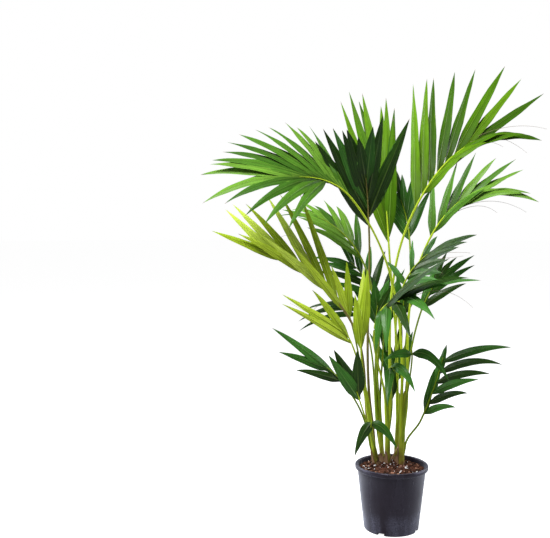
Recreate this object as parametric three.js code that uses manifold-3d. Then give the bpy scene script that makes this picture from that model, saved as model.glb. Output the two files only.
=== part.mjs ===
// A kentia palm in its nursery pot: five short stems rise from the potting soil, and from them
// twenty-seven arching fronds. Millimetres, +Z up, origin at the middle of the pot's flat underside,
// -Y is the front.
import * as THREE from 'three';
import { mergeVertices } from 'three/addons/utils/BufferGeometryUtils.js';
import Module from 'manifold-3d';

// ---------------------------------------------------------------- driving sizes

const CLEAR = 0.3;                                    // gap between neighbouring solids
const POT = {
  height: 187, baseRadius: 79, bodyRadius: 98, rimRadius: 105, wall: 2.2, floor: 10, bevel: 2,
  lipHeight: 13, lipStep: 3, lipRound: 3, segments: 32,
};
const NOTCH = { count: 4, width: 21, height: 7, depth: 20, offset: 0.76 };    // drain slots in the foot
const SOIL = { level: 170, mound: 176, moundRadius: 78 };
const STEM = { sides: 9, rings: 7, flare: 1.18, flareHeight: 24, shoulder: 0.72 };
const RIB = { sides: 4, rings: 8, rise: 0.35, arch: 0.5, seat: 1, aside: new THREE.Vector3(0.2, 1, 0.1) };
const RIB_RADIUS = { foot: 2.6, footPerLength: 1 / 320, neck: 2.2, neckPerLength: 1 / 260, tip: 1.3 };
const LEAF = {
  stations: [0, 0.22, 0.64, 1], root: 0.3, belly: 1.38, taper: 0.64,   // outline from root to tip
  slimness: 80,                                       // length over thickness
  swell: 0.4, reach: 0.98, stagger: 0.15,             // along the rib: longer midway, one row ahead
};
const VARY = { angle: 2.5, length: 0.05, width: 0.1, droop: 0.3 };             // how unlike leaflets are
const TURNS = [0, 3, -3, 6, -6, 9, -9, 13, -13];      // degrees that a leaflet may turn to stay clear
const TOLERANCE = 0.02;                               // of the simplified frond
const SEED = { factor: 48271, modulus: 2147483647, step: 7919, start: 104729, skip: 3 };

// Stems: foot on the soil, top, and the radius at each.
const STEMS = {
  a: { foot: [-45, 26], top: [-76, 6, 385], radii: [8.5, 5.0] },
  b: { foot: [-26, 58], top: [-44, 52, 360], radii: [8.0, 5.0] },
  c: { foot: [-12, 36], top: [-12, 26, 400], radii: [8.5, 5.0] },
  d: { foot: [14, 66], top: [20, 72, 380], radii: [8.0, 5.0] },
  e: { foot: [27, 30], top: [36, 24, 395], radii: [9.0, 5.5] },
};

// Fronds. A petiole leaves its stem at the height "foot", towards the compass angle "side" (degrees
// from +X), passes the neck, where the leaflets start, and ends at the tip. A larger "arch" than
// usual keeps its first half steeper. "face" is the way the blade's upper side looks, as compass
// angle and height in degrees, and "show" the way its leaflets turn, where that differs. A row of
// leaflets is [count, angle to the rib at its first and its last, length at its first and its last],
// and where it doesn't run from neck to tip, its two ends as shares of the blade. "spread" opens the
// middle of a row further, "lift" folds both rows up, "droop" lets the left and the right row hang.
const FRONDS = {
  arch_left: {
    stem: 'e', foot: 330, side: 200, neck: [-113, -120, 949], tip: [-248, -200, 1005],
    face: [-70, 45], left: [5, 50, -20, 165, 270, 0.55, 1], right: [11, 33, 16, 265, 260],
    width: 34, droop: [0.35, 0.16], hue: 'mid',
  },
  fan_front: {
    stem: 'a', foot: 300, side: 20, neck: [-68, -60, 869], tip: [-75, -130, 1005],
    face: [-85, 15], left: [6, 27, 4, 300, 130], right: [3, 25, 4, 310, 150],
    width: 40, droop: [0.03, 0.03], hue: 'deep',
  },
  back_bright: {
    stem: 'd', foot: 370, side: 150, neck: [-13, 60, 812], tip: [-27, 110, 994],
    face: [-95, 15], left: [4, 16, 6, 442, 290], right: [4, 11, 3, 355, 280],
    width: 33, droop: [0, 0], hue: 'bright',
  },
  right_top: {
    stem: 'c', foot: 360, side: 330, neck: [54, 20, 911], tip: [264, 60, 1130], arch: 0.65,
    face: [-125, 32], left: [8, 31, 2, 395, 262, 0, 0.9], right: [5, 10, 16, 180, 170, 0.05, 1],
    width: 34, lift: 10, spread: [14, 0], droop: [0.03, 0.25], hue: 'bright',
  },
  right_mid: {
    stem: 'e', foot: 350, side: 10, neck: [96, -20, 830], tip: [236, -20, 974], arch: 0.6,
    face: [-125, 35], left: [6, 30, -2, 207, 153], right: [5, 10, 30, 232, 167, 0, 1],
    width: 27, lift: 8, droop: [0.05, 0.3], hue: 'mid',
  },
  back_dark: {
    stem: 'd', foot: 300, side: 40, neck: [48, 110, 823], tip: [21, 190, 951],
    face: [-90, 50], left: [5, 26, 8, 200, 160], right: [5, 26, 8, 200, 160],
    width: 22, droop: [0.15, 0.15], hue: 'deep',
  },
  left_bright: {
    stem: 'a', foot: 290, side: 150, neck: [-122, -60, 616], tip: [-349, -120, 803],
    face: [-55, 45], show: [[-85, 15], [-85, 15]],
    left: [4, 8, 3, 257, 202], right: [6, 25, 22, 342, 182, 0.1, 1],
    width: 24, lift: 20, droop: [0.05, 0.05], hue: 'lime',
  },
  left_low_bright: {
    stem: 'a', foot: 320, side: 265, neck: [-110, -90, 542], tip: [-134, -105, 590],
    face: [-80, 20], left: [2, 30, 20, 240, 225], right: [1, -8, -8, 185, 185],
    width: 22, droop: [0.06, 0.06], hue: 'lime',
  },
  lime_upright: {
    stem: 'a', foot: 340, side: 320, neck: [-88, -52, 519], tip: [-85, -66, 582],
    face: [-90, 10], left: [2, 6, 2, 165, 235], right: [1, 3, 3, 225, 225],
    width: 32, droop: [0.02, 0.02], hue: 'lime',
  },
  left_back: {
    stem: 'b', foot: 330, side: 240, neck: [-88, 60, 768], tip: [-230, 140, 900],
    face: [-60, 40], left: [5, 36, 12, 222, 142], right: [6, 24, 12, 210, 150],
    width: 25, lift: 15, droop: [0.22, 0.22], hue: 'mid',
  },
  mid_right_dark: {
    stem: 'd', foot: 350, side: 235, neck: [25, -20, 695], tip: [93, -90, 799],
    face: [-120, 35], left: [3, 72, 4, 105, 95], right: [6, 46, 8, 185, 215],
    width: 25, lift: 15, droop: [0.15, 0.15], hue: 'deep',
  },
  front_mid: {
    stem: 'c', foot: 340, side: 200, neck: [-35, -110, 640], tip: [61, -150, 706], arch: 0.35,
    face: [-100, 55], show: [null, [-90, 25]],
    left: [3, -12, 6, 290, 190], right: [4, 150, 22, 60, 130, 0, 0.8],
    width: 28, droop: [0.22, 0.5], hue: 'deep',
  },
  right_small: {
    stem: 'e', foot: 300, neck: [54, -60, 507], tip: [53, -75, 532],
    face: [-90, 10], show: [[-90, 30], [-90, 30]], left: [1, 70, 70, 85, 85], right: [1, 62, 62, 118, 118],
    width: 28, droop: [0.6, 0.8], hue: 'deep',
  },
  low_right: {
    stem: 'e', foot: 230, neck: [83, 20, 313], tip: [145, 40, 495],
    face: [-120, 20], left: [3, 11, 3, 152, 64], right: [6, 34, 56, 100, 250],
    width: 25, lift: 10, droop: [0.1, 0.28], hue: 'deep',
  },
  low_left_long: {
    stem: 'a', foot: 235, side: 180, neck: [-132, -60, 425], tip: [-200, -95, 492],
    face: [-90, 30], left: [2, 32, 6, 140, 190], right: [1, -5, -5, 240, 240],
    width: 26, droop: [0.05, 0.05], hue: 'deep',
  },
  low_left_fan: {
    stem: 'a', foot: 225, side: 262, neck: [-89, -70, 381], tip: [-98, -80, 412],
    face: [-90, 10], left: [2, 18, 6, 165, 165], right: [1, 14, 14, 160, 150],
    width: 38, droop: [0.02, 0.02], hue: 'deep',
  },
  bottom_curl: {
    stem: 'a', foot: 200, side: 320, neck: [-58, -75, 312], tip: [-55, -80, 333],
    face: [-90, 10], show: [[-90, 20], [-90, 20]], left: [1, 134, 134, 62, 62], right: [1, 78, 78, 76, 76],
    width: 29, droop: [1.05, 1.05], hue: 'deep',
  },
  centre_dark: {
    stem: 'b', foot: 300, side: 30, neck: [-28, 95, 556], tip: [-33, 130, 635],
    face: [-90, 20], left: [3, 34, 10, 190, 150], right: [3, 34, 10, 190, 150],
    width: 26, droop: [0.1, 0.1], hue: 'deep',
  },
  centre_low: {
    stem: 'c', foot: 260, side: 290, neck: [-10, -40, 470], tip: [2, -60, 478],
    face: [-90, 60], show: [[-90, 20], [-90, 20]], left: [1, 22, 22, 96, 96], right: [1, 36, 36, 110, 110],
    width: 26, droop: [0.9, 0.8], hue: 'deep',
  },
  left_back_low: {
    stem: 'b', foot: 280, side: 178, neck: [-90, 92, 601], tip: [-126, 130, 640],
    face: [-90, 40], left: [3, 60, 18, 180, 150], right: [2, 40, 18, 120, 120],
    width: 20, droop: [0.35, 0.35], hue: 'deep',
  },
  back_left: {
    stem: 'b', foot: 350, side: 85, neck: [-55, 125, 650], tip: [-130, 180, 760],
    face: [-90, 40], left: [4, 45, 18, 180, 150], right: [4, 35, 18, 180, 150],
    width: 22, droop: [0.2, 0.2], hue: 'deep',
  },
  right_back: {
    stem: 'e', foot: 330, side: 70, neck: [78, 60, 614], tip: [130, 100, 715],
    face: [-90, 40], left: [3, 8, 4, 180, 140], right: [3, 34, 14, 150, 170],
    width: 22, droop: [0.18, 0.18], hue: 'deep',
  },
  inner_left: {
    stem: 'b', foot: 280, side: 330, neck: [-48, 20, 596], tip: [-43, 30, 651],
    face: [-90, 10], left: [2, 25, 8, 100, 90], right: [2, 25, 8, 100, 90],
    width: 26, droop: [0.05, 0.05], hue: 'deep',
  },
  inner_right: {
    stem: 'c', foot: 290, side: 85, neck: [26, 30, 596], tip: [31, 35, 660],
    face: [-90, 10], left: [2, 28, 8, 110, 90], right: [2, 28, 8, 110, 90],
    width: 24, droop: [0.05, 0.05], hue: 'deep',
  },
  inner_low: {
    stem: 'c', foot: 225, side: 80, neck: [0, 50, 357], tip: [-4, 60, 405],
    face: [-90, 10], left: [2, 14, 5, 90, 90], right: [2, 14, 5, 90, 90],
    width: 24, droop: [0.05, 0.05], hue: 'deep',
  },
  left_bright_side: {
    stem: 'a', foot: 345, side: 118, neck: [-115, -40, 597], tip: [-129, -44, 640],
    face: [-85, 15], left: [1, -1, -1, 165, 165], right: [1, 15, 15, 165, 165],
    width: 26, droop: [0.03, 0.03], hue: 'lime',
  },
  inner_back: {
    stem: 'd', foot: 240, side: 100, neck: [14, 95, 389], tip: [8, 108, 453],
    face: [-90, 12], left: [2, 26, 8, 185, 165], right: [2, 26, 8, 175, 160],
    width: 27, droop: [0.05, 0.05], hue: 'deep',
  },
};
const HUES = { deep: 0x12421f, mid: 0x2c6a22, bright: 0x4f8f1f, lime: 0x8fb726 };

// ---------------------------------------------------------------- solids and meshes

const wasm = await Module();
wasm.setup();

const DOWN = new THREE.Vector3(0, 0, -1);
const rad = THREE.MathUtils.degToRad;
const mix = THREE.MathUtils.lerp;
const vec = (p) => new THREE.Vector3(...p);
const compass = ([turn, height]) => new THREE.Vector3(
  Math.cos(rad(height)) * Math.cos(rad(turn)),
  Math.cos(rad(height)) * Math.sin(rad(turn)),
  Math.sin(rad(height)),
);

// A closed three.js geometry as a solid that can be joined and cut.
function toSolid(geometry) {
  const bare = geometry.clone();
  bare.deleteAttribute('normal');
  bare.deleteAttribute('uv');
  const merged = mergeVertices(bare, 1e-4);
  return new wasm.Manifold(new wasm.Mesh({
    numProp: 3,
    vertProperties: new Float32Array(merged.attributes.position.array),
    triVerts: new Uint32Array(merged.index.array),
  }));
}

function toGeometry(solid) {
  const mesh = solid.getMesh();
  const geometry = new THREE.BufferGeometry();
  geometry.setAttribute('position', new THREE.BufferAttribute(mesh.vertProperties, 3));
  geometry.setIndex(new THREE.BufferAttribute(mesh.triVerts, 1));
  geometry.computeVertexNormals();
  return geometry;
}

const group = new THREE.Group();
const solids = {};
function addMesh(name, solid, color, roughness) {
  const material = new THREE.MeshStandardMaterial({ color, roughness, metalness: 0 });
  const mesh = new THREE.Mesh(toGeometry(solid), material);
  mesh.name = name;
  solids[name] = solid;
  group.add(mesh);
}

// Bends a unit cone or cylinder, which stands on -Y..+Y, into a limb: "place" gives the point on
// the limb's skin for a station from 0 at the top to 1, and a direction round it as cosine and sine.
function bend(geometry, place) {
  const position = geometry.attributes.position;
  for (let i = 0; i < position.count; i++) {
    const x = position.getX(i), z = position.getZ(i), reach = Math.hypot(x, z);
    const [c, s] = reach > 1e-9 ? [x / reach, -z / reach] : [0, 0];
    const point = place(0.5 - position.getY(i), c, s);
    position.setXYZ(i, point.x, point.y, point.z);
  }
  return geometry;
}

// The largest body of a solid, without the scraps that a cut leaves.
const whole = (solid) => solid.decompose().sort((p, q) => q.volume() - p.volume())[0];

const meets = (one, other) => {
  const p = one.boundingBox(), q = other.boundingBox();
  if ([0, 1, 2].some((i) => p.min[i] > q.max[i] || q.min[i] > p.max[i])) return false;
  return one.intersect(other).volume() > 1e-6;
};

// ---------------------------------------------------------------- pot and soil

function turned(points) {
  const lathe = new THREE.LatheGeometry(points.map(([r, z]) => new THREE.Vector2(r, z)), POT.segments);
  return toSolid(lathe.rotateX(Math.PI / 2));
}
const lipFoot = POT.height - POT.lipHeight;
const innerRadius = (z) => mix(POT.baseRadius, POT.bodyRadius, z / lipFoot) - POT.wall;
const throat = POT.height - 2 * POT.lipRound;          // where the lip's inside meets the wall

let pot = turned([
  [0, 0], [POT.baseRadius - POT.bevel, 0], [POT.baseRadius, POT.bevel],
  [POT.bodyRadius, lipFoot], [POT.rimRadius - POT.lipStep / 2, lipFoot + POT.lipStep / 3],
  [POT.rimRadius, lipFoot + POT.lipStep], [POT.rimRadius, POT.height - POT.lipRound],
  [POT.rimRadius - POT.lipRound / 2, POT.height], [POT.rimRadius - POT.lipRound * 1.5, POT.height],
  [innerRadius(throat), throat], [innerRadius(POT.floor), POT.floor], [0, POT.floor],
]);
for (let i = 0; i < NOTCH.count; i++) {
  const notch = new THREE.BoxGeometry(NOTCH.depth * 2, NOTCH.width, NOTCH.height * 2);
  notch.translate(POT.baseRadius, 0, 0);
  notch.rotateZ((i + NOTCH.offset) * 2 * Math.PI / NOTCH.count);
  pot = pot.subtract(toSolid(notch));
}
addMesh('pot', pot, 0x23252c, 0.45);

const soil = turned([
  [0, POT.floor + CLEAR], [innerRadius(POT.floor) - CLEAR, POT.floor + CLEAR],
  [innerRadius(SOIL.level) - CLEAR, SOIL.level], [SOIL.moundRadius, SOIL.mound], [0, SOIL.mound],
]);
addMesh('soil', soil, 0x35231a, 0.95);

// ---------------------------------------------------------------- stems

function stemAxis({ foot, top, radii }, z) {
  const k = (z - SOIL.mound) / (top[2] - SOIL.mound);
  return {
    point: new THREE.Vector3(mix(foot[0], top[0], k), mix(foot[1], top[1], k), z),
    radius: mix(radii[0], radii[1], k),
  };
}

function stemSolid(stem, extra = 0) {
  const bottom = SOIL.mound + CLEAR - extra, height = stem.top[2] + extra - bottom;
  const shape = new THREE.CylinderGeometry(1, 1, 1, STEM.sides, STEM.rings);
  return toSolid(bend(shape, (station, c, s) => {
    const z = bottom + height * (1 - station);
    const { point, radius } = stemAxis(stem, z);
    const flare = 1 + (STEM.flare - 1) * Math.max(0, 1 - (z - bottom) / STEM.flareHeight) ** 2;
    const shoulder = station < 1 / (STEM.rings + 1) ? STEM.shoulder : 1;
    point.x += (radius * flare * shoulder + extra) * c;
    point.y += (radius * flare * shoulder + extra) * s;
    return point;
  }));
}
for (const [name, stem] of Object.entries(STEMS)) addMesh('stem_' + name, stemSolid(stem), 0x7d7a34, 0.7);

// ---------------------------------------------------------------- ribs

// The rib: a petiole that leaves along its stem, and a rachis that bends on from the neck to the tip.
function ribOf(frond) {
  const stem = STEMS[frond.stem], { point, radius } = stemAxis(stem, frond.foot);
  const neck = vec(frond.neck), tip = vec(frond.tip);
  const toNeck = neck.clone().sub(point).setZ(0).normalize();
  const out = frond.side === undefined ? toNeck : compass([frond.side, 0]);
  const foot = point.addScaledVector(out, radius + RIB.seat);
  const reach = foot.distanceTo(neck), blade = neck.distanceTo(tip);
  const lean = vec(stem.top).sub(vec([...stem.foot, SOIL.mound])).normalize();
  const heading = neck.clone().sub(foot).divideScalar(reach)
    .addScaledVector(tip.clone().sub(neck), 1 / blade).normalize();
  const rising = foot.clone().addScaledVector(lean, RIB.rise * reach);
  const nearing = neck.clone().addScaledVector(heading, -RIB.rise * reach);
  const arching = neck.clone().addScaledVector(heading, blade * (frond.arch ?? RIB.arch));
  return {
    petiole: new THREE.CubicBezierCurve3(foot, rising, nearing, neck),
    rachis: new THREE.QuadraticBezierCurve3(neck, arching, tip),
    radii: [
      RIB_RADIUS.foot + (reach + blade) * RIB_RADIUS.footPerLength,
      RIB_RADIUS.neck + blade * RIB_RADIUS.neckPerLength,
      RIB_RADIUS.tip,
    ],
  };
}

function ribSolid(rib) {
  const shape = new THREE.CylinderGeometry(1, 1, 1, RIB.sides, RIB.rings);
  return toSolid(bend(shape, (station, c, s) => {
    const k = 2 * (1 - station), inPetiole = k < 1;
    const part = inPetiole ? rib.petiole : rib.rachis, t = inPetiole ? k : k - 1;
    const [from, to] = inPetiole ? rib.radii : rib.radii.slice(1);
    const along = part.getTangent(t);
    const across = RIB.aside.clone().cross(along).normalize(), up = along.clone().cross(across);
    const radius = mix(from, to, t);
    return part.getPoint(t).addScaledVector(across, radius * c).addScaledVector(up, radius * s);
  }));
}

// ---------------------------------------------------------------- leaflets

function* seeded(seed) {
  let state = (seed * SEED.step + SEED.start) % SEED.modulus;
  for (let i = 0; ; i++) {
    state = (state * SEED.factor) % SEED.modulus;
    if (i >= SEED.skip) yield state / SEED.modulus * 2 - 1;
  }
}

// Half the leaflet's width, as a share of its widest, from its root to its tip.
function leafWidth(s) {
  const shoulder = LEAF.stations[1];
  return s < shoulder ? mix(LEAF.root, 1, s / shoulder) : Math.min(1, LEAF.belly * (1 - s) ** LEAF.taper);
}

// One leaflet: a slim blade with a flat underside and a ridge along its upper side.
function leafSolid(leaf, extra = 0) {
  const rings = LEAF.stations.length - 1;
  const line = (s) => leaf.base.clone()
    .addScaledVector(leaf.along, leaf.length * s)
    .addScaledVector(DOWN, leaf.length * leaf.droop * s * s);
  const shape = new THREE.ConeGeometry(1, 1, 3, rings, false, Math.PI);
  return toSolid(bend(shape, (station, c, s) => {
    const k = LEAF.stations[Math.round((1 - station) * rings)];
    const along = line(k + 0.05).sub(line(k - 0.05)).normalize();
    if (k === 1) return line(k).addScaledVector(along, extra);
    const across = leaf.face.clone().cross(along).normalize(), up = along.clone().cross(across);
    const half = leaf.width / 2 * leafWidth(k) + extra, corner = Math.cos(Math.PI / 6);
    const height = leaf.length / LEAF.slimness * (s + corner / Math.sqrt(3)) / 1.5 + extra * Math.sign(s);
    return line(k).addScaledVector(across, half * c / corner).addScaledVector(up, height);
  }));
}

// The leaflets of a frond, first its left row, then its right.
function leafletsOf(frond, rib, index) {
  const numbers = seeded(index + 1), next = () => numbers.next().value;
  const facing = compass(frond.face), lift = rad(frond.lift ?? 0);
  const leaflets = [];
  for (const [side, row] of [[-1, frond.left], [1, frond.right]]) {
    const at = (side + 1) / 2, sag = frond.droop[at], look = frond.show?.[at];
    const spread = frond.spread?.[at] ?? 0;
    const [count, angleNeck, angleTip, lengthNeck, lengthTip, from = 0, to = 1] = row;
    for (let i = 0; i < count; i++) {
      const u = count > 1 ? (i + 0.5 + LEAF.stagger * side) / count : 0.5;
      const seat = mix(from, to, u) * LEAF.reach, along = rib.rachis.getTangent(seat);
      const up = facing.clone().addScaledVector(along, -facing.dot(along)).normalize();
      const right = along.clone().cross(up);
      const angle = mix(angleNeck, angleTip, u) + spread * 4 * u * (1 - u) + VARY.angle * next();
      const swell = count > 2 ? LEAF.swell * u * (1 - u) * lengthNeck : 0;
      const length = (mix(lengthNeck, lengthTip, u) + swell) * (1 + VARY.length * next());
      const share = length / Math.max(lengthNeck, lengthTip);
      const width = frond.width * (1 + VARY.width * next()) * mix(0.8, 1, share);
      const droop = sag * (1 + VARY.droop * next());
      const aim = (turn) => along.clone().multiplyScalar(Math.cos(rad(angle + turn)))
        .addScaledVector(right, side * Math.sin(rad(angle + turn)) * Math.cos(lift))
        .addScaledVector(up, Math.sin(rad(angle + turn)) * Math.sin(lift)).normalize();
      const base = rib.rachis.getPoint(seat), face = look ? compass(look) : up;
      leaflets.push({ base, aim, along: aim(0), face, length, width, droop });
    }
  }
  return leaflets;
}

// ---------------------------------------------------------------- fronds

// All ribs first, each cut clear of its own stem, so that leaflets give way to them.
const ribs = {}, fronds = {};
for (const [name, frond] of Object.entries(FRONDS)) {
  ribs[name] = ribOf(frond);
  fronds[name] = whole(ribSolid(ribs[name]).subtract(stemSolid(STEMS[frond.stem], CLEAR)));
}

// Then the leaflets, each fused to its rib. One that would touch another piece is turned a little,
// and left out where no turn clears it.
Object.entries(FRONDS).forEach(([name, frond], index) => {
  const others = Object.entries({ ...solids, ...fronds }).filter(([other]) => other !== name);
  for (const leaf of leafletsOf(frond, ribs[name], index)) {
    const turn = TURNS.find((degrees) => {
      const fat = leafSolid({ ...leaf, along: leaf.aim(degrees) }, CLEAR + 0.1);
      return !others.some(([, solid]) => meets(fat, solid));
    });
    if (turn !== undefined) fronds[name] = fronds[name].add(leafSolid({ ...leaf, along: leaf.aim(turn) }));
  }
  fronds[name] = whole(fronds[name].simplify(TOLERANCE));
});
for (const [name, solid] of Object.entries(fronds)) {
  addMesh('frond_' + name, solid, HUES[FRONDS[name].hue], 0.5);
}

export default group;
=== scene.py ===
"""A kentia palm in its nursery pot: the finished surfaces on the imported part.

Metres, +Z up, the front towards -Y, origin in the middle of the pot's underside.
"""

import math

import bpy
import numpy as np
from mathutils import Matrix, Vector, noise


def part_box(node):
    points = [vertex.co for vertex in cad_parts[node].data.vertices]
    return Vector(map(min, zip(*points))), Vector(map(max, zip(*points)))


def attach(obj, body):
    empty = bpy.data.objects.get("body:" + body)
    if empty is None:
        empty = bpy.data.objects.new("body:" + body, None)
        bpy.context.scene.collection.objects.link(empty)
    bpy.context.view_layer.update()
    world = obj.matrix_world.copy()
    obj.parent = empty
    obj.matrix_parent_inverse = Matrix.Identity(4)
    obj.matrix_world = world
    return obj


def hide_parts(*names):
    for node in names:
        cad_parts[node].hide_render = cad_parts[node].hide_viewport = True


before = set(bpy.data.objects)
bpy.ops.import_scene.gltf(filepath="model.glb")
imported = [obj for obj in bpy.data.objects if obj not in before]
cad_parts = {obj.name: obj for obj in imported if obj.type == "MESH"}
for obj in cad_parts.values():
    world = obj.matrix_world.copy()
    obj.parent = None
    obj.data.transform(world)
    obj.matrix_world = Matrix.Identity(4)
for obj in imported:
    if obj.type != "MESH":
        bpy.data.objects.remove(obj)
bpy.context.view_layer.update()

# ---------------------------------------------------------------- camera, floor and light
# The camera stands 2.4 m off, 0.9 m above the floor, and looks slightly down and to the left. A white
# floor runs out into a white room. Tall soft boxes stand left and right of the plant, two more stand
# behind it, and a small one hangs above its front.
CAMERA_PLACE = (0, -2.4, 0.902)
CAMERA_TURN = 8.08
CAMERA_DIP = 3.62
CAMERA_LENS, CAMERA_SENSOR = 54.65, 36      # millimetres
FLOOR_RADIUS, FLOOR_SIDES = 30, 96
FLOOR_DROP = 0.0005                         # keeps the floor clear of the pot's underside
FLOOR_WHITE, FLOOR_ROUGH = (0.40, 0.40, 0.40), 0.8
FLOOR_GLOW = 0.92                           # how far the seen floor is lifted towards white
ROOM_WHITE = (1, 1, 1)
ROOM_SEEN = 1.0                             # brightness of the room as a background
ROOM_LIGHT = 0.15                           # brightness of the room as a light
SOFT_LIGHTS = {                             # those with no tint are white
    "left": dict(place=(-2.2, 0.3, 1.1), size=(1.8, 2.4), power=104, aim=(0, 0, 0.65), tint=(0.84, 0.88, 1)),
    "right": dict(place=(2.2, 0.3, 1.1), size=(1.8, 2.4), power=84, aim=(0, 0, 0.65), tint=(0.84, 0.88, 1)),
    "above": dict(place=(-0.7, -1.5, 2.9), size=(1.0, 0.8), power=140, aim=(0, 0, 0.7)),
    "behind_left": dict(place=(-1.5, 1.9, 1.7), size=(0.8, 1.6), power=24, aim=(0, 0, 0.9)),
    "behind_right": dict(place=(1.5, 1.9, 1.7), size=(0.8, 1.6), power=24, aim=(0, 0, 0.9)),
}

scene = bpy.context.scene
scene.view_settings.view_transform = "Standard"
bpy.ops.object.camera_add(
    location=CAMERA_PLACE, rotation=(math.radians(90 - CAMERA_DIP), 0, math.radians(CAMERA_TURN)))
camera = bpy.context.object
camera.name = "camera"
camera.data.lens = CAMERA_LENS
camera.data.sensor_width = CAMERA_SENSOR
scene.camera = camera


def feed(tree, node, inputs):
    """Gives each input of a node its value, or the socket that feeds it. Colours come without alpha."""
    for name, value in inputs.items():
        socket = node.inputs[name]
        if isinstance(value, bpy.types.NodeSocket):
            tree.links.new(value, socket)
        elif socket.type == "RGBA":
            socket.default_value = (*value, 1)
        else:
            socket.default_value = value


def add_node(tree, kind, inputs=None, **settings):
    """A new shader node with its settings and inputs."""
    node = tree.nodes.new("ShaderNode" + kind)
    for name, value in settings.items():
        setattr(node, name, value)
    feed(tree, node, inputs or {})
    return node


def ranged(tree, value, low, high, least=0, most=1, **settings):
    """A value's socket, mapped so that low becomes least and high becomes most."""
    inputs = {"Value": value, "From Min": low, "From Max": high, "To Min": least, "To Max": most}
    return add_node(tree, "MapRange", inputs, **settings).outputs[0]


def plain_material(name, colour, roughness):
    """A material with its own Principled shader. Returns it with its node tree and shader."""
    material = bpy.data.materials.new(name)
    material.use_nodes = True
    tree = material.node_tree
    shader = tree.nodes["Principled BSDF"]
    feed(tree, shader, {"Base Color": colour, "Roughness": roughness})
    return material, tree, shader


bpy.ops.mesh.primitive_circle_add(
    vertices=FLOOR_SIDES, radius=FLOOR_RADIUS, fill_type="NGON", location=(0, 0, -FLOOR_DROP))
floor = bpy.context.object
floor.name = "floor"
floor_paint, tree, shader = plain_material("floor_paint", FLOOR_WHITE, FLOOR_ROUGH)
seen = add_node(tree, "LightPath").outputs["Is Camera Ray"]
feed(tree, shader, {"Emission Strength": FLOOR_GLOW, "Emission Color": seen})
floor.data.materials.append(floor_paint)

room = bpy.data.worlds.new("room")
room.use_nodes = True
tree = room.node_tree
seen = add_node(tree, "LightPath").outputs["Is Camera Ray"]
brightness = ranged(tree, seen, 0, 1, ROOM_LIGHT, ROOM_SEEN)
feed(tree, tree.nodes["Background"], {"Color": ROOM_WHITE, "Strength": brightness})
scene.world = room
for name, light in SOFT_LIGHTS.items():
    bpy.ops.object.light_add(type="AREA", location=light["place"])
    lamp = bpy.context.object
    lamp.name = "light_" + name
    lamp.data.shape = "RECTANGLE"
    lamp.data.size, lamp.data.size_y = light["size"]
    lamp.data.energy = light["power"]
    lamp.data.color = light.get("tint", (1, 1, 1))
    towards = lamp.location - type(lamp.location)(light["aim"])
    lamp.rotation_euler = towards.to_track_quat("Z", "Y").to_euler()
bpy.ops.object.select_all(action="DESELECT")

# ---------------------------------------------------------------- the pot
# A thin-walled nursery container, injection moulded in black polypropylene, with a rounded lip, a
# faint step where pots stack, and four drain slots in its foot. It is pulled up ring by ring from
# a disc, and the slots are cut by a Boolean.
POT_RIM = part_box("pot")[1].x
POT_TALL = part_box("pot")[1].z
POT_FOOT = 0.079
POT_SHOULDER = 0.098
POT_WALL = 0.0022
POT_FLOOR = 0.010
POT_BEVEL = 0.002
POT_SIDES = 128
STACK_STEP = (0.046, 0.0005)                # height and depth of the step in the wall
LIP_TALL = 0.013
LIP_ROUND, LIP_ROUND_STEPS = 0.0035, 5
LIP_FLARE = (0.0012, 0.002)                 # how far the wall spreads under the lip, over which height
LIP_THROAT = (0.0004, 0.004)                # how far it narrows inside, under the lip, over which depth
WALL_RING, INNER_RING = 0.11, 0.09          # heights of one more ring outside and inside
SLOT_COUNT, SLOT_OFFSET = 4, 0.76           # the offset is a share of the way to the next slot
SLOT_WIDE, SLOT_TALL, SLOT_DEEP = 0.021, 0.007, 0.020
# the second colour is the dust's, and also that of the painted highlight over the lip
POT_BLACK, POT_DUST_AND_HIGHLIGHT = (0.0060, 0.0028, 0.0036), (0.088, 0.090, 0.126)
POT_SHEEN, POT_SHEEN_TINT = 0.22, (0.78, 0.74, 1.0)
POT_ROUGH = (0.18, 0.34)                    # between the smears and in them
POT_GRAIN = (0.12, 0.0004)                  # strength and depth
SMEARS, SMEAR_STRETCH = (28, 5), (1, 1, 0.25)   # scale and detail; they run down the wall
SMEAR_EDGES = (0.34, 0.66)
GRIT = (420, 2)                             # scale and detail
GRIT_EDGES, GRIT_DUST = (0.38, 0.62), (0.35, 1.5)
DUST_HEIGHTS, DUST_SHARES = (0.066, 0.036), (0.08, 0.60)    # more dust towards the foot
LIP_PAINTED_HIGHLIGHT, LIP_PAINTED_HIGHLIGHT_TALL = 0.08, 0.004       # painted highlight over the lip, lightening its top towards the dust colour
DUST_SHEEN, DUST_SHEEN_ROUGH = 0.23, 0.42   # the fine dust's glow where the wall is seen at a slant
DUST_SHEEN_TINT = (0.72, 0.80, 1.0)
FACES_UP = 0.9                              # least height of the normal of a face that looks up


def wall_radius(height):
    """Outer radius of the pot's slanting wall at a height."""
    return POT_FOOT + (POT_SHOULDER - POT_FOOT) * height / (POT_TALL - LIP_TALL)


def lip_corner(radius, height, start):
    """A quarter round of the lip about a centre, from an angle in degrees, as (radius, height)."""
    turns = np.radians(np.linspace(start, start + 90, LIP_ROUND_STEPS))
    return [(radius + LIP_ROUND * math.cos(turn), height + LIP_ROUND * math.sin(turn)) for turn in turns]


def pull_up(rings):
    """Extrudes the selected cap of the object in edit mode through rings of (radius, height)."""
    (radius, height), rest = rings[0], rings[1:]
    for next_radius, next_height in rest:
        bpy.ops.mesh.extrude_region_move(TRANSFORM_OT_translate={"value": (0, 0, next_height - height)})
        bpy.ops.transform.resize(value=(next_radius / radius, next_radius / radius, 1),
                                 center_override=(0, 0, next_height))
        radius, height = next_radius, next_height


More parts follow.
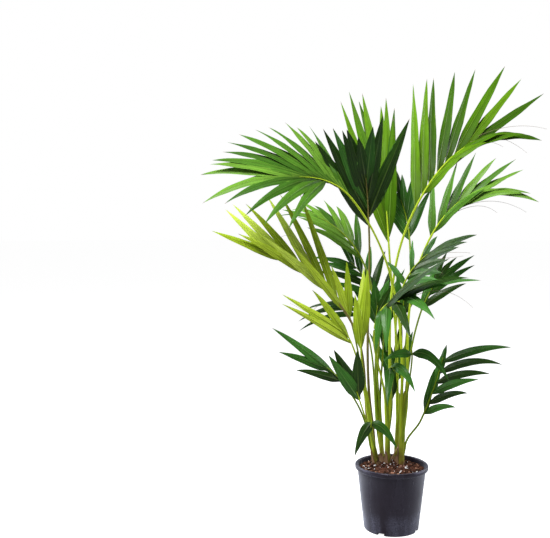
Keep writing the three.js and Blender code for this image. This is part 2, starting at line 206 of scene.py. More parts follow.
def select_only(piece, kind, chosen):
    """Puts a piece in edit mode with only the chosen ones of its faces or edges selected."""
    bpy.ops.object.mode_set(mode="EDIT")
    bpy.ops.mesh.select_mode(type=kind)
    bpy.ops.mesh.select_all(action="DESELECT")
    bpy.ops.object.mode_set(mode="OBJECT")
    parts = piece.data.polygons if kind == "FACE" else piece.data.edges
    parts.foreach_set("select", chosen)
    bpy.ops.object.mode_set(mode="EDIT")


def start_turned(name, radius, depth, sides):
    """A closed disc on the axis, in edit mode with its upper cap selected."""
    bpy.ops.mesh.primitive_cylinder_add(
        vertices=sides, radius=radius, depth=depth, location=(0, 0, depth / 2))
    piece = bpy.context.object
    piece.name = piece.data.name = name
    bpy.ops.object.transform_apply(location=True, rotation=True, scale=True)
    select_only(piece, "FACE", [polygon.normal.z > FACES_UP for polygon in piece.data.polygons])
    return piece


def shade(piece, crease):
    """Smooth shading that keeps creases sharper than an angle, and nothing left selected."""
    bpy.ops.object.select_all(action="DESELECT")
    piece.select_set(True)
    bpy.context.view_layer.objects.active = piece
    bpy.ops.object.shade_smooth_by_angle(angle=math.radians(crease))
    bpy.ops.object.select_all(action="DESELECT")


lip_foot = POT_TALL - LIP_TALL
step_low, step_deep = STACK_STEP
flare, flare_tall = LIP_FLARE
narrowing, throat_deep = LIP_THROAT
throat = POT_TALL - 2 * LIP_ROUND
inner_edge = wall_radius(throat) - POT_WALL
pot = start_turned("pot_shell", POT_FOOT - POT_BEVEL, POT_BEVEL / 2, POT_SIDES)
pull_up([
    (POT_FOOT - POT_BEVEL, POT_BEVEL / 2),
    (POT_FOOT - POT_BEVEL / 4, POT_BEVEL),
    (POT_FOOT, POT_BEVEL * 2),
    (wall_radius(step_low) - step_deep, step_low),
    (wall_radius(step_low), step_low + step_deep * 3),
    (wall_radius(WALL_RING), WALL_RING),
    (wall_radius(lip_foot - flare_tall), lip_foot - flare_tall),
    (POT_SHOULDER + flare, lip_foot),
    *lip_corner(POT_RIM - LIP_ROUND, lip_foot + LIP_ROUND, -90),
    *lip_corner(POT_RIM - LIP_ROUND, POT_TALL - LIP_ROUND, 0),
    *lip_corner(inner_edge + LIP_ROUND, POT_TALL - LIP_ROUND, 90),
    (inner_edge - narrowing, throat - throat_deep),
    (wall_radius(INNER_RING) - POT_WALL, INNER_RING),
    (wall_radius(POT_FLOOR) - POT_WALL, POT_FLOOR),
])
bpy.ops.object.mode_set(mode="OBJECT")

slots = []
for turn in range(SLOT_COUNT):
    angle = (turn + SLOT_OFFSET) * math.tau / SLOT_COUNT
    bpy.ops.mesh.primitive_cube_add(
        size=1, location=(POT_FOOT * math.cos(angle), POT_FOOT * math.sin(angle), 0),
        rotation=(0, 0, angle), scale=(SLOT_DEEP * 2, SLOT_WIDE, SLOT_TALL * 2))
    slots.append(bpy.context.object)
bpy.ops.object.select_all(action="DESELECT")
for slot in slots:
    slot.select_set(True)
bpy.ops.object.join()
cutter = bpy.context.object
cut = pot.modifiers.new("drain_slots", "BOOLEAN")
cut.object, cut.operation, cut.solver = cutter, "DIFFERENCE", "EXACT"
bpy.context.view_layer.objects.active = pot
bpy.ops.object.modifier_apply(modifier=cut.name)
bpy.data.objects.remove(cutter)
shade(pot, crease=40)


def maths(tree, operation, *values, **settings):
    """The socket of a sum on numbers and sockets."""
    return add_node(tree, "Math", dict(enumerate(values)), operation=operation, **settings).outputs[0]


def mixed(tree, share, one, other):
    """The socket of a blend of two colours. A Mix node has its colours at inputs 6 and 7."""
    return add_node(tree, "Mix", {0: share, 6: one, 7: other}, data_type="RGBA").outputs[2]


def clouds(tree, place, scale, detail):
    """The socket of a soft noise."""
    return add_node(tree, "TexNoise", {"Vector": place, "Scale": scale, "Detail": detail}).outputs["Fac"]


def relief(tree, height, strength, depth):
    """The socket of a normal that follows a height."""
    inputs = {"Height": height, "Strength": strength, "Distance": depth}
    return add_node(tree, "Bump", inputs).outputs[0]


pot_plastic, tree, shader = plain_material("pot_plastic", POT_BLACK, POT_ROUGH[1])
place = add_node(tree, "TexCoord").outputs["Object"]
height = add_node(tree, "SeparateXYZ", {"Vector": place}).outputs["Z"]
drawn_down = add_node(tree, "Mapping", {"Vector": place, "Scale": SMEAR_STRETCH}).outputs[0]
smears = clouds(tree, drawn_down, *SMEARS)
grit = clouds(tree, place, *GRIT)
over_height = ranged(tree, height, *DUST_HEIGHTS, *DUST_SHARES)
# painted highlight: the top of the lip is lightened towards the dust colour, where the light above would
# shine on it
painted_lip_highlight = ranged(tree, height, lip_foot, lip_foot + LIP_PAINTED_HIGHLIGHT_TALL, 0, LIP_PAINTED_HIGHLIGHT)
# this mask holds the real dust towards the foot and the painted highlight on the lip
where = maths(tree, "ADD", over_height, painted_lip_highlight)
smeared = maths(tree, "MULTIPLY", where, ranged(tree, smears, *SMEAR_EDGES))
dust_and_lip_highlight = maths(tree, "MULTIPLY", smeared, ranged(tree, grit, *GRIT_EDGES, *GRIT_DUST), use_clamp=True)
feed(tree, shader, {
    "Base Color": mixed(tree, dust_and_lip_highlight, POT_BLACK, POT_DUST_AND_HIGHLIGHT),
    "Roughness": ranged(tree, smears, 0, 1, *POT_ROUGH),
    "Normal": relief(tree, grit, *POT_GRAIN),
    "Specular IOR Level": POT_SHEEN,
    "Specular Tint": POT_SHEEN_TINT,
    "Sheen Weight": DUST_SHEEN,
    "Sheen Roughness": DUST_SHEEN_ROUGH,
    "Sheen Tint": DUST_SHEEN_TINT,
})
pot.data.materials.append(pot_plastic)
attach(pot, "root")
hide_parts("pot")

# ---------------------------------------------------------------- the potting soil
# Peat and fine bark, filled to a finger's breadth under the lip and a little heaped round the
# stems. A disc is pulled up, its top is inset ring by ring, and noise roughens it.
SOIL_LEVEL = 0.1725
SOIL_HEAP = 0.005
SOIL_ROUGH = 0.0024
SOIL_LUMPS = ((90, 1, 0), (260, 0.5, 4))    # scale, share and layer of the coarse and the fine lumps
SOIL_SIDES, SOIL_RINGS = 96, 22
SOIL_GAP = 0.0005
SOIL_EDGE = 0.001                           # height of the lowest ring over the soil's foot
SURFACE_SKIN = 0.0005                       # points this little under the level belong to the surface
SOIL_SHEEN, SOIL_DULL = 0.1, 0.95
SOIL_BROWN = (0.009, 0.003, 0.002)
PEAT_GRAIN, PEAT_RELIEF = (240, 6), (0.8, 0.0015)
PEAT_SHADES = ((0.35, (0.012, 0.005, 0.0025)), (0.7, (0.095, 0.036, 0.015)))
soil_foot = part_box("soil")[0].z
soil_radius = wall_radius(SOIL_LEVEL) - POT_WALL - SOIL_GAP
soil_foot_radius = wall_radius(soil_foot) - POT_WALL - SOIL_GAP


def soil_height(x, y):
    """Height of the soil's surface at a place."""
    reach = min(1, math.hypot(x, y) / soil_radius)
    lumps = sum(share * noise.noise((x * scale, y * scale, layer)) for scale, share, layer in SOIL_LUMPS)
    return SOIL_LEVEL + SOIL_HEAP * (1 - reach ** 2) + SOIL_ROUGH * lumps * (1 - reach ** 8)


soil = start_turned("soil_bed", soil_foot_radius, SOIL_EDGE, SOIL_SIDES)
bpy.ops.transform.translate(value=(0, 0, soil_foot))
pull_up([(soil_foot_radius, soil_foot + SOIL_EDGE), (soil_radius, SOIL_LEVEL)])
for ring in range(SOIL_RINGS):
    bpy.ops.mesh.inset(thickness=soil_radius / (SOIL_RINGS + 1))
bpy.ops.mesh.poke()
bpy.ops.object.mode_set(mode="OBJECT")
for vertex in soil.data.vertices:
    x, y, z = vertex.co
    vertex.co.z = soil_height(x, y) if z > SOIL_LEVEL - SURFACE_SKIN else max(z, soil_foot)
shade(soil, crease=60)

soil_peat, tree, shader = plain_material("soil_peat", SOIL_BROWN, SOIL_DULL)
grain = clouds(tree, add_node(tree, "TexCoord").outputs["Object"], *PEAT_GRAIN)
tint = add_node(tree, "ValToRGB", {"Fac": grain})
for stop, (position, colour) in zip(tint.color_ramp.elements, PEAT_SHADES):
    stop.position = position
    stop.color = (*colour, 1)
feed(tree, shader, {
    "Base Color": tint.outputs["Color"],
    "Normal": relief(tree, grain, *PEAT_RELIEF),
    "Specular IOR Level": SOIL_SHEEN,
})
soil.data.materials.append(soil_peat)
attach(soil, "root")
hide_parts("soil")

# ---------------------------------------------------------------- the stems
# Five short stems, each the wrapped leaf bases of one seedling: yellow-green above, brown and
# scarred towards the soil. A cylinder is cut into rings, leaned, tapered and given its relief.
STEMS = {                                   # foot on the soil, top, radius at each
    "a": ((-0.045, 0.026), (-0.076, 0.006, 0.385), (0.0085, 0.0050)),
    "b": ((-0.026, 0.058), (-0.044, 0.052, 0.360), (0.0080, 0.0050)),
    "c": ((-0.012, 0.036), (-0.012, 0.026, 0.400), (0.0085, 0.0050)),
    "d": ((0.014, 0.066), (0.020, 0.072, 0.380), (0.0080, 0.0050)),
    "e": ((0.027, 0.030), (0.036, 0.024, 0.395), (0.0090, 0.0055)),
}
STEM_GROUND = 0.176
STEM_FLARE, STEM_FLARE_TALL = 1.18, 0.024
STEM_SIDES, STEM_RINGS = 40, 110
STEM_CLOSE, STEM_CLOSE_LEAST = 0.028, 0.12  # height over which the top closes, and what stays open
LOBE, LOBE_TWIST, LOBE_FADE = 0.0007, 9, 0.75   # swell of the wrapped leaf bases, weaker with height
FIBRE, FIBRE_ROUND, FIBRE_UP = 0.00025, 9, 14   # relief of the fibres, how fine round the stem and up it
SCAR_STEP, SCAR_DEEP = 0.031, 0.0005
SCAR_WOBBLE, SCAR_WIDE, SCAR_FADE = 0.06, 0.07, 0.14
STEM_GREEN, STEM_PALE, STEM_BROWN = (0.120, 0.165, 0.006), (0.290, 0.320, 0.030), (0.110, 0.052, 0.022)
STEM_BROWN_TO, STEM_GREEN_FROM = 0.17, 0.235    # heights between which brown turns to green
STEM_ROUGH, STALK_ROUGH, STALK_SHEEN = 0.5, 0.42, 0.08
STRAND_STRETCH, STRAND_DETAIL, STRAND_RELIEF = (1, 1, 0.06), 3, 0.5
STRAND_FINE, STRAND_DEEP = 620, 0.0005
BLOTCHES, BLOTCH_SWING = (95, 4), 1.2       # scale and detail; how far they carry the brown up and down


def stem_axis(name, height):
    """Centre and radius of a stem at a height."""
    foot, top, (wide, slim) = STEMS[name]
    k = (height - STEM_GROUND) / (top[2] - STEM_GROUND)
    centre = np.array([foot[0] + (top[0] - foot[0]) * k, foot[1] + (top[1] - foot[1]) * k, height])
    return centre, wide + (slim - wide) * k


def stem_flare(rise):
    """How many times wider a stem is than its taper says, at a height above the soil."""
    return 1 + (STEM_FLARE - 1) * max(0, 1 - rise / STEM_FLARE_TALL) ** 2


def shader_group(name, inputs, outputs):
    """An empty shader group with named sockets. Returns it with its input and output nodes."""
    group = bpy.data.node_groups.new(name, "ShaderNodeTree")
    for side, sockets in (("INPUT", inputs), ("OUTPUT", outputs)):
        for socket, kind in sockets.items():
            group.interface.new_socket(socket, in_out=side, socket_type="NodeSocket" + kind)
    return group, group.nodes.new("NodeGroupInput"), group.nodes.new("NodeGroupOutput")


def fibre_group():
    """Shader group: long fibres that run up a stalk, as a mask and a normal."""
    group, given, made = shader_group(
        "fibres", {"Scale": "Float", "Depth": "Float"}, {"Mask": "Float", "Normal": "Vector"})
    place = add_node(group, "TexCoord").outputs["Object"]
    drawn_up = add_node(group, "Mapping", {"Vector": place, "Scale": STRAND_STRETCH}).outputs[0]
    strands = clouds(group, drawn_up, given.outputs["Scale"], STRAND_DETAIL)
    normal = relief(group, strands, STRAND_RELIEF, given.outputs["Depth"])
    feed(group, made, {"Mask": strands, "Normal": normal})
    return group


fibres = fibre_group()


def stalk_material(name, green, pale, brown, brown_to, green_from, roughness=STALK_ROUGH):
    """Green stalk with paler fibres, that is brown below one height and green above the other."""
    material, tree, shader = plain_material(name, green, roughness)
    strands = add_node(tree, "Group", {"Scale": STRAND_FINE, "Depth": STRAND_DEEP}, node_tree=fibres)
    place = add_node(tree, "TexCoord").outputs["Object"]
    height = add_node(tree, "SeparateXYZ", {"Vector": place}).outputs["Z"]
    swing = (green_from - brown_to) * BLOTCH_SWING
    level = maths(tree, "MULTIPLY_ADD", clouds(tree, place, *BLOTCHES), swing, height)
    aged = ranged(tree, level, green_from + swing / 2, brown_to + swing / 2)
    fresh = mixed(tree, strands.outputs["Mask"], green, pale)
    feed(tree, shader, {
        "Base Color": mixed(tree, aged, fresh, brown),
        "Normal": strands.outputs["Normal"],
        "Specular IOR Level": STALK_SHEEN,
    })
    return material


stem_skin = stalk_material(
    "stem_skin", STEM_GREEN, STEM_PALE, STEM_BROWN, STEM_BROWN_TO, STEM_GREEN_FROM, STEM_ROUGH)
for name, (_, top, _) in STEMS.items():
    tall = top[2] - STEM_GROUND
    bpy.ops.mesh.primitive_cylinder_add(
        vertices=STEM_SIDES, radius=1, depth=tall, location=(0, 0, STEM_GROUND + tall / 2))
    stem = bpy.context.object
    stem.name = stem.data.name = "leafbase_" + name
    bpy.ops.object.transform_apply(location=True, rotation=True, scale=True)
    rises = [stem.data.vertices[a].co.z - stem.data.vertices[b].co.z for a, b in stem.data.edge_keys]
    select_only(stem, "EDGE", [abs(rise) > tall / 2 for rise in rises])
    bpy.ops.mesh.subdivide(number_cuts=STEM_RINGS)
    bpy.ops.object.mode_set(mode="OBJECT")
    phase = ord(name)
    for vertex in stem.data.vertices:
        x, y, z = vertex.co
        centre, radius = stem_axis(name, z)
        turn, rise = math.atan2(y, x), z - STEM_GROUND
        closing = min(1, (top[2] - z) / STEM_CLOSE + STEM_CLOSE_LEAST) ** 0.5
        lobes = LOBE * math.cos(2 * turn + phase + rise * LOBE_TWIST) * max(0, 1 - LOBE_FADE * rise / tall)
        strands = FIBRE * noise.noise((x * FIBRE_ROUND + phase, y * FIBRE_ROUND, z * FIBRE_UP))
        scar = (rise / SCAR_STEP + SCAR_WOBBLE * math.sin(turn + phase)) % 1
        ring = -SCAR_DEEP * math.exp(-(scar / SCAR_WIDE) ** 2) * max(0, 1 - rise / SCAR_FADE)
        reach = radius * stem_flare(rise) * closing + lobes + strands + ring
        vertex.co = (centre[0] + reach * x, centre[1] + reach * y, z)
    stem.data.materials.append(stem_skin)
    shade(stem, crease=50)
    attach(stem, "root")
    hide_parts("stem_" + name)

# ---------------------------------------------------------------- fibrous sheaths
# The dead husks of old leaf bases: thin brown tongues that clasp the foot of each stem, ridged
# with fibres and torn along their upper edge.
HUSKS = {                                   # stem: (direction, arc, height, stand off) for each husk
    "a": ((225, 60, 0.052, 0.0004), (20, 120, 0.024, 0.0008), (300, 50, 0.018, 0.0008)),
    "b": ((255, 110, 0.030, 0.0006), (120, 120, 0.022, 0.0010)),
    "c": ((245, 70, 0.044, 0.0004), (60, 130, 0.028, 0.0008), (330, 60, 0.018, 0.0008)),
    "d": ((280, 120, 0.026, 0.0006), (90, 130, 0.022, 0.0010)),
    "e": ((200, 44, 0.060, 0.0004), (110, 120, 0.030, 0.0008), (320, 50, 0.014, 0.0008)),
}
HUSK_THICK = 0.0006
HUSK_COLUMNS, HUSK_ROWS = 28, 16
HUSK_SINK = 0.002
HUSK_TORN, HUSK_TEETH = 0.45, ((5, 1), (19, 0.6))   # depth of the tears; how fine, and how strong each is
HUSK_ROUND = 0.75                           # how much lower a husk is at its sides
HUSK_LEAN, HUSK_RIDGE, HUSK_RIDGES = 0.0022, 0.0003, 23
HUSK_BROWN, HUSK_TAN = (0.110, 0.056, 0.030), (0.310, 0.200, 0.115)
HUSK_BROWN_TO, HUSK_PALE_FROM, HUSK_DULL = 0.16, 0.17, 0.8


def join_arrays(name, points, faces, materials, face_slots=None, uvs=None):
    """One mesh object from arrays of points and faces, with a material slot for each face."""
    mesh = bpy.data.meshes.new(name)
    mesh.from_pydata(points.tolist(), [], faces if isinstance(faces, list) else faces.tolist())
    for material in materials:
        mesh.materials.append(material)
    if face_slots is not None:
        mesh.polygons.foreach_set("material_index", np.asarray(face_slots, np.int32))
    if uvs is not None:
        corners = np.zeros(len(mesh.loops), np.int32)
        mesh.loops.foreach_get("vertex_index", corners)
        mesh.uv_layers.new(name="blade").data.foreach_set("uv", uvs[corners].astype(np.float32).ravel())
    mesh.update()
    piece = bpy.data.objects.new(name, mesh)
    scene.collection.objects.link(piece)
    return piece


def husk_sides(name, number, direction, wrap, tall, off):
    """Points of the outer and of the inner side of a husk, column by column."""
    outer, inner = [], []
    (coarse, coarse_share), (fine, fine_share) = HUSK_TEETH
    for column in range(HUSK_COLUMNS + 1):
        across = column / HUSK_COLUMNS * 2 - 1
        turn = math.radians(direction + across * wrap / 2)
        around = np.array([math.cos(turn), math.sin(turn), 0])
        torn = (coarse_share * noise.noise((across * coarse + number * 3, ord(name), 0))
                + fine_share * noise.noise((across * fine, ord(name), number)))
        edge = tall * (1 - HUSK_ROUND * across ** 2) * (1 + HUSK_TORN * torn)
        for row in range(HUSK_ROWS + 1):
            rise = edge * row / HUSK_ROWS
            centre, radius = stem_axis(name, STEM_GROUND + rise)
            centre[2] -= HUSK_SINK
            lean = HUSK_LEAN * (row / HUSK_ROWS) ** 4 + HUSK_RIDGE * math.cos(turn * HUSK_RIDGES)
            reach = radius * stem_flare(rise) + off + LOBE + lean
            outer.append(centre + around * (reach + HUSK_THICK))
            inner.append(centre + around * reach)
    return outer, inner


def husk_faces(start):
    """Faces of a husk's two sides and of its four edges, from the number of its first point."""
    step, half = HUSK_ROWS + 1, (HUSK_COLUMNS + 1) * (HUSK_ROWS + 1)
    found = []
    for column in range(HUSK_COLUMNS):
        for row in range(HUSK_ROWS):
            a = start + column * step + row
            found.append((a, a + step, a + step + 1, a + 1))
            found.append((a + half, a + half + 1, a + half + step + 1, a + half + step))
        a, b = start + column * step, start + column * step + HUSK_ROWS
        found.append((a, a + half, a + half + step, a + step))
        found.append((b, b + step, b + half + step, b + half))
    for row in range(HUSK_ROWS):
        a, b = start + row, start + HUSK_COLUMNS * step + row
        found.append((a, a + 1, a + half + 1, a + half))
        found.append((b, b + half, b + half + 1, b + 1))
    return found


husk_skin = stalk_material(
    "husk_skin", HUSK_BROWN, HUSK_TAN, HUSK_BROWN, HUSK_BROWN_TO, HUSK_PALE_FROM, HUSK_DULL)
points, faces = [], []
for name, tongues in HUSKS.items():
    for number, tongue in enumerate(tongues):
        outer, inner = husk_sides(name, number, *tongue)
        faces += husk_faces(len(points))
        points += outer + inner
husks = join_arrays("husks", np.array(points), faces, [husk_skin])
shade(husks, crease=60)
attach(husks, "root")

# ---------------------------------------------------------------- bark crumbs and perlite
# Loose chips of bark on the soil in three browns, and white grains of expanded perlite among them.
# Each is a dented twelve-cornered crumb, scattered by seeded numbers and sunk into the soil.
CRUMBS = {                                  # how many, size from and to, flatness, colour
    "bark_dark": (1400, 0.0018, 0.0062, 0.55, (0.020, 0.007, 0.003)),
    "bark_brown": (900, 0.0020, 0.0072, 0.50, (0.072, 0.027, 0.015)),
    "bark_tan": (300, 0.0018, 0.0060, 0.45, (0.330, 0.170, 0.110)),
    "perlite": (110, 0.0018, 0.0040, 0.90, (0.92, 0.90, 0.87)),
}
CRUMB_SEED = 11
STEM_CLEAR = 0.0095                         # crumbs keep this far from a stem's axis
CRUMB_DENT = 0.28
CRUMB_NARROW, CRUMB_NARROW_VARY = 0.55, 0.4
CRUMB_TUMBLED = 0.3                         # share of the bark that doesn't lie flat
CRUMB_SPIN = 7
CRUMB_PROUD = 0.35                          # height of a crumb's middle over the soil, of half its thickness
CRUMB_DULL = 0.85
CRUMB_PITS, CRUMB_RELIEF = (700, 3), (0.6, 0.0005)
CRUMB_DARK, CRUMB_PALE = 0.45, 1.35         # brightness of a crumb's pits and ridges

bpy.ops.mesh.primitive_ico_sphere_add(subdivisions=1, radius=1)
crumb_form = bpy.context.object
crumb_points = np.array([v.co for v in crumb_form.data.vertices])
crumb_faces = np.array([list(p.vertices) for p in crumb_form.data.polygons])
bpy.data.objects.remove(crumb_form)


def random_turns(numbers, count):
    """Seeded rotation matrices."""
    q = numbers.normal(size=(count, 4))
    w, x, y, z = (q / np.linalg.norm(q, axis=1, keepdims=True)).T
    return np.array([[1 - 2 * (y * y + z * z), 2 * (x * y - z * w), 2 * (x * z + y * w)],
                     [2 * (x * y + z * w), 1 - 2 * (x * x + z * z), 2 * (y * z - x * w)],
                     [2 * (x * z - y * w), 2 * (y * z + x * w), 1 - 2 * (x * x + y * y)]]).transpose(2, 0, 1)


def crumb_material(name, colour):
    """One colour of crumb, pitted, and mottled from dark to pale."""
    material, tree, shader = plain_material(name, colour, CRUMB_DULL)
    pits = clouds(tree, add_node(tree, "TexCoord").outputs["Object"], *CRUMB_PITS)
    dark, pale = [tuple(min(1, share * c) for c in colour) for share in (CRUMB_DARK, CRUMB_PALE)]
    feed(tree, shader, {
        "Base Color": mixed(tree, pits, dark, pale),
        "Normal": relief(tree, pits, *CRUMB_RELIEF),
        "Specular IOR Level": SOIL_SHEEN,
    })
    return material


numbers = np.random.default_rng(CRUMB_SEED)
for name, (count, small, large, flat, colour) in CRUMBS.items():
    points, faces = [], []
    sizes = small + (large - small) * numbers.random(count) ** 2
    reaches, turns = soil_radius * numbers.random(count) ** 0.5, numbers.random(count) * math.tau
    for size, reach, turn, tumble in zip(sizes, reaches, turns, random_turns(numbers, count)):
        x, y = (reach - size) * math.cos(turn), (reach - size) * math.sin(turn)
        if min(math.hypot(x - fx, y - fy) for (fx, fy), _, _ in STEMS.values()) < STEM_CLEAR:
            continue
        dents = 1 + CRUMB_DENT * numbers.uniform(-1, 1, (len(crumb_points), 1))
        narrow = CRUMB_NARROW + CRUMB_NARROW_VARY * numbers.random()
        shape = crumb_points * dents * (1, narrow, flat) * size
        tilt = tumble if name == "perlite" or numbers.random() < CRUMB_TUMBLED else np.eye(3)
        cos, sin = math.cos(turn * CRUMB_SPIN), math.sin(turn * CRUMB_SPIN)
        spin = np.array([[cos, -sin, 0], [sin, cos, 0], [0, 0, 1]])
        faces.append(crumb_faces + len(crumb_points) * len(points))
        points.append(shape @ (spin @ tilt).T + (x, y, soil_height(x, y) + size * flat * CRUMB_PROUD))
    crumbs = join_arrays(name, np.concatenate(points), np.concatenate(faces), [crumb_material(name, colour)])
    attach(crumbs, "root")

# ---------------------------------------------------------------- petioles and ribs
# Each frond's stalk: a clasping base, a long petiole with a channel along its upper side, and the
# rachis that carries the leaflets and arches on to the tip. A section is swept along two curves.

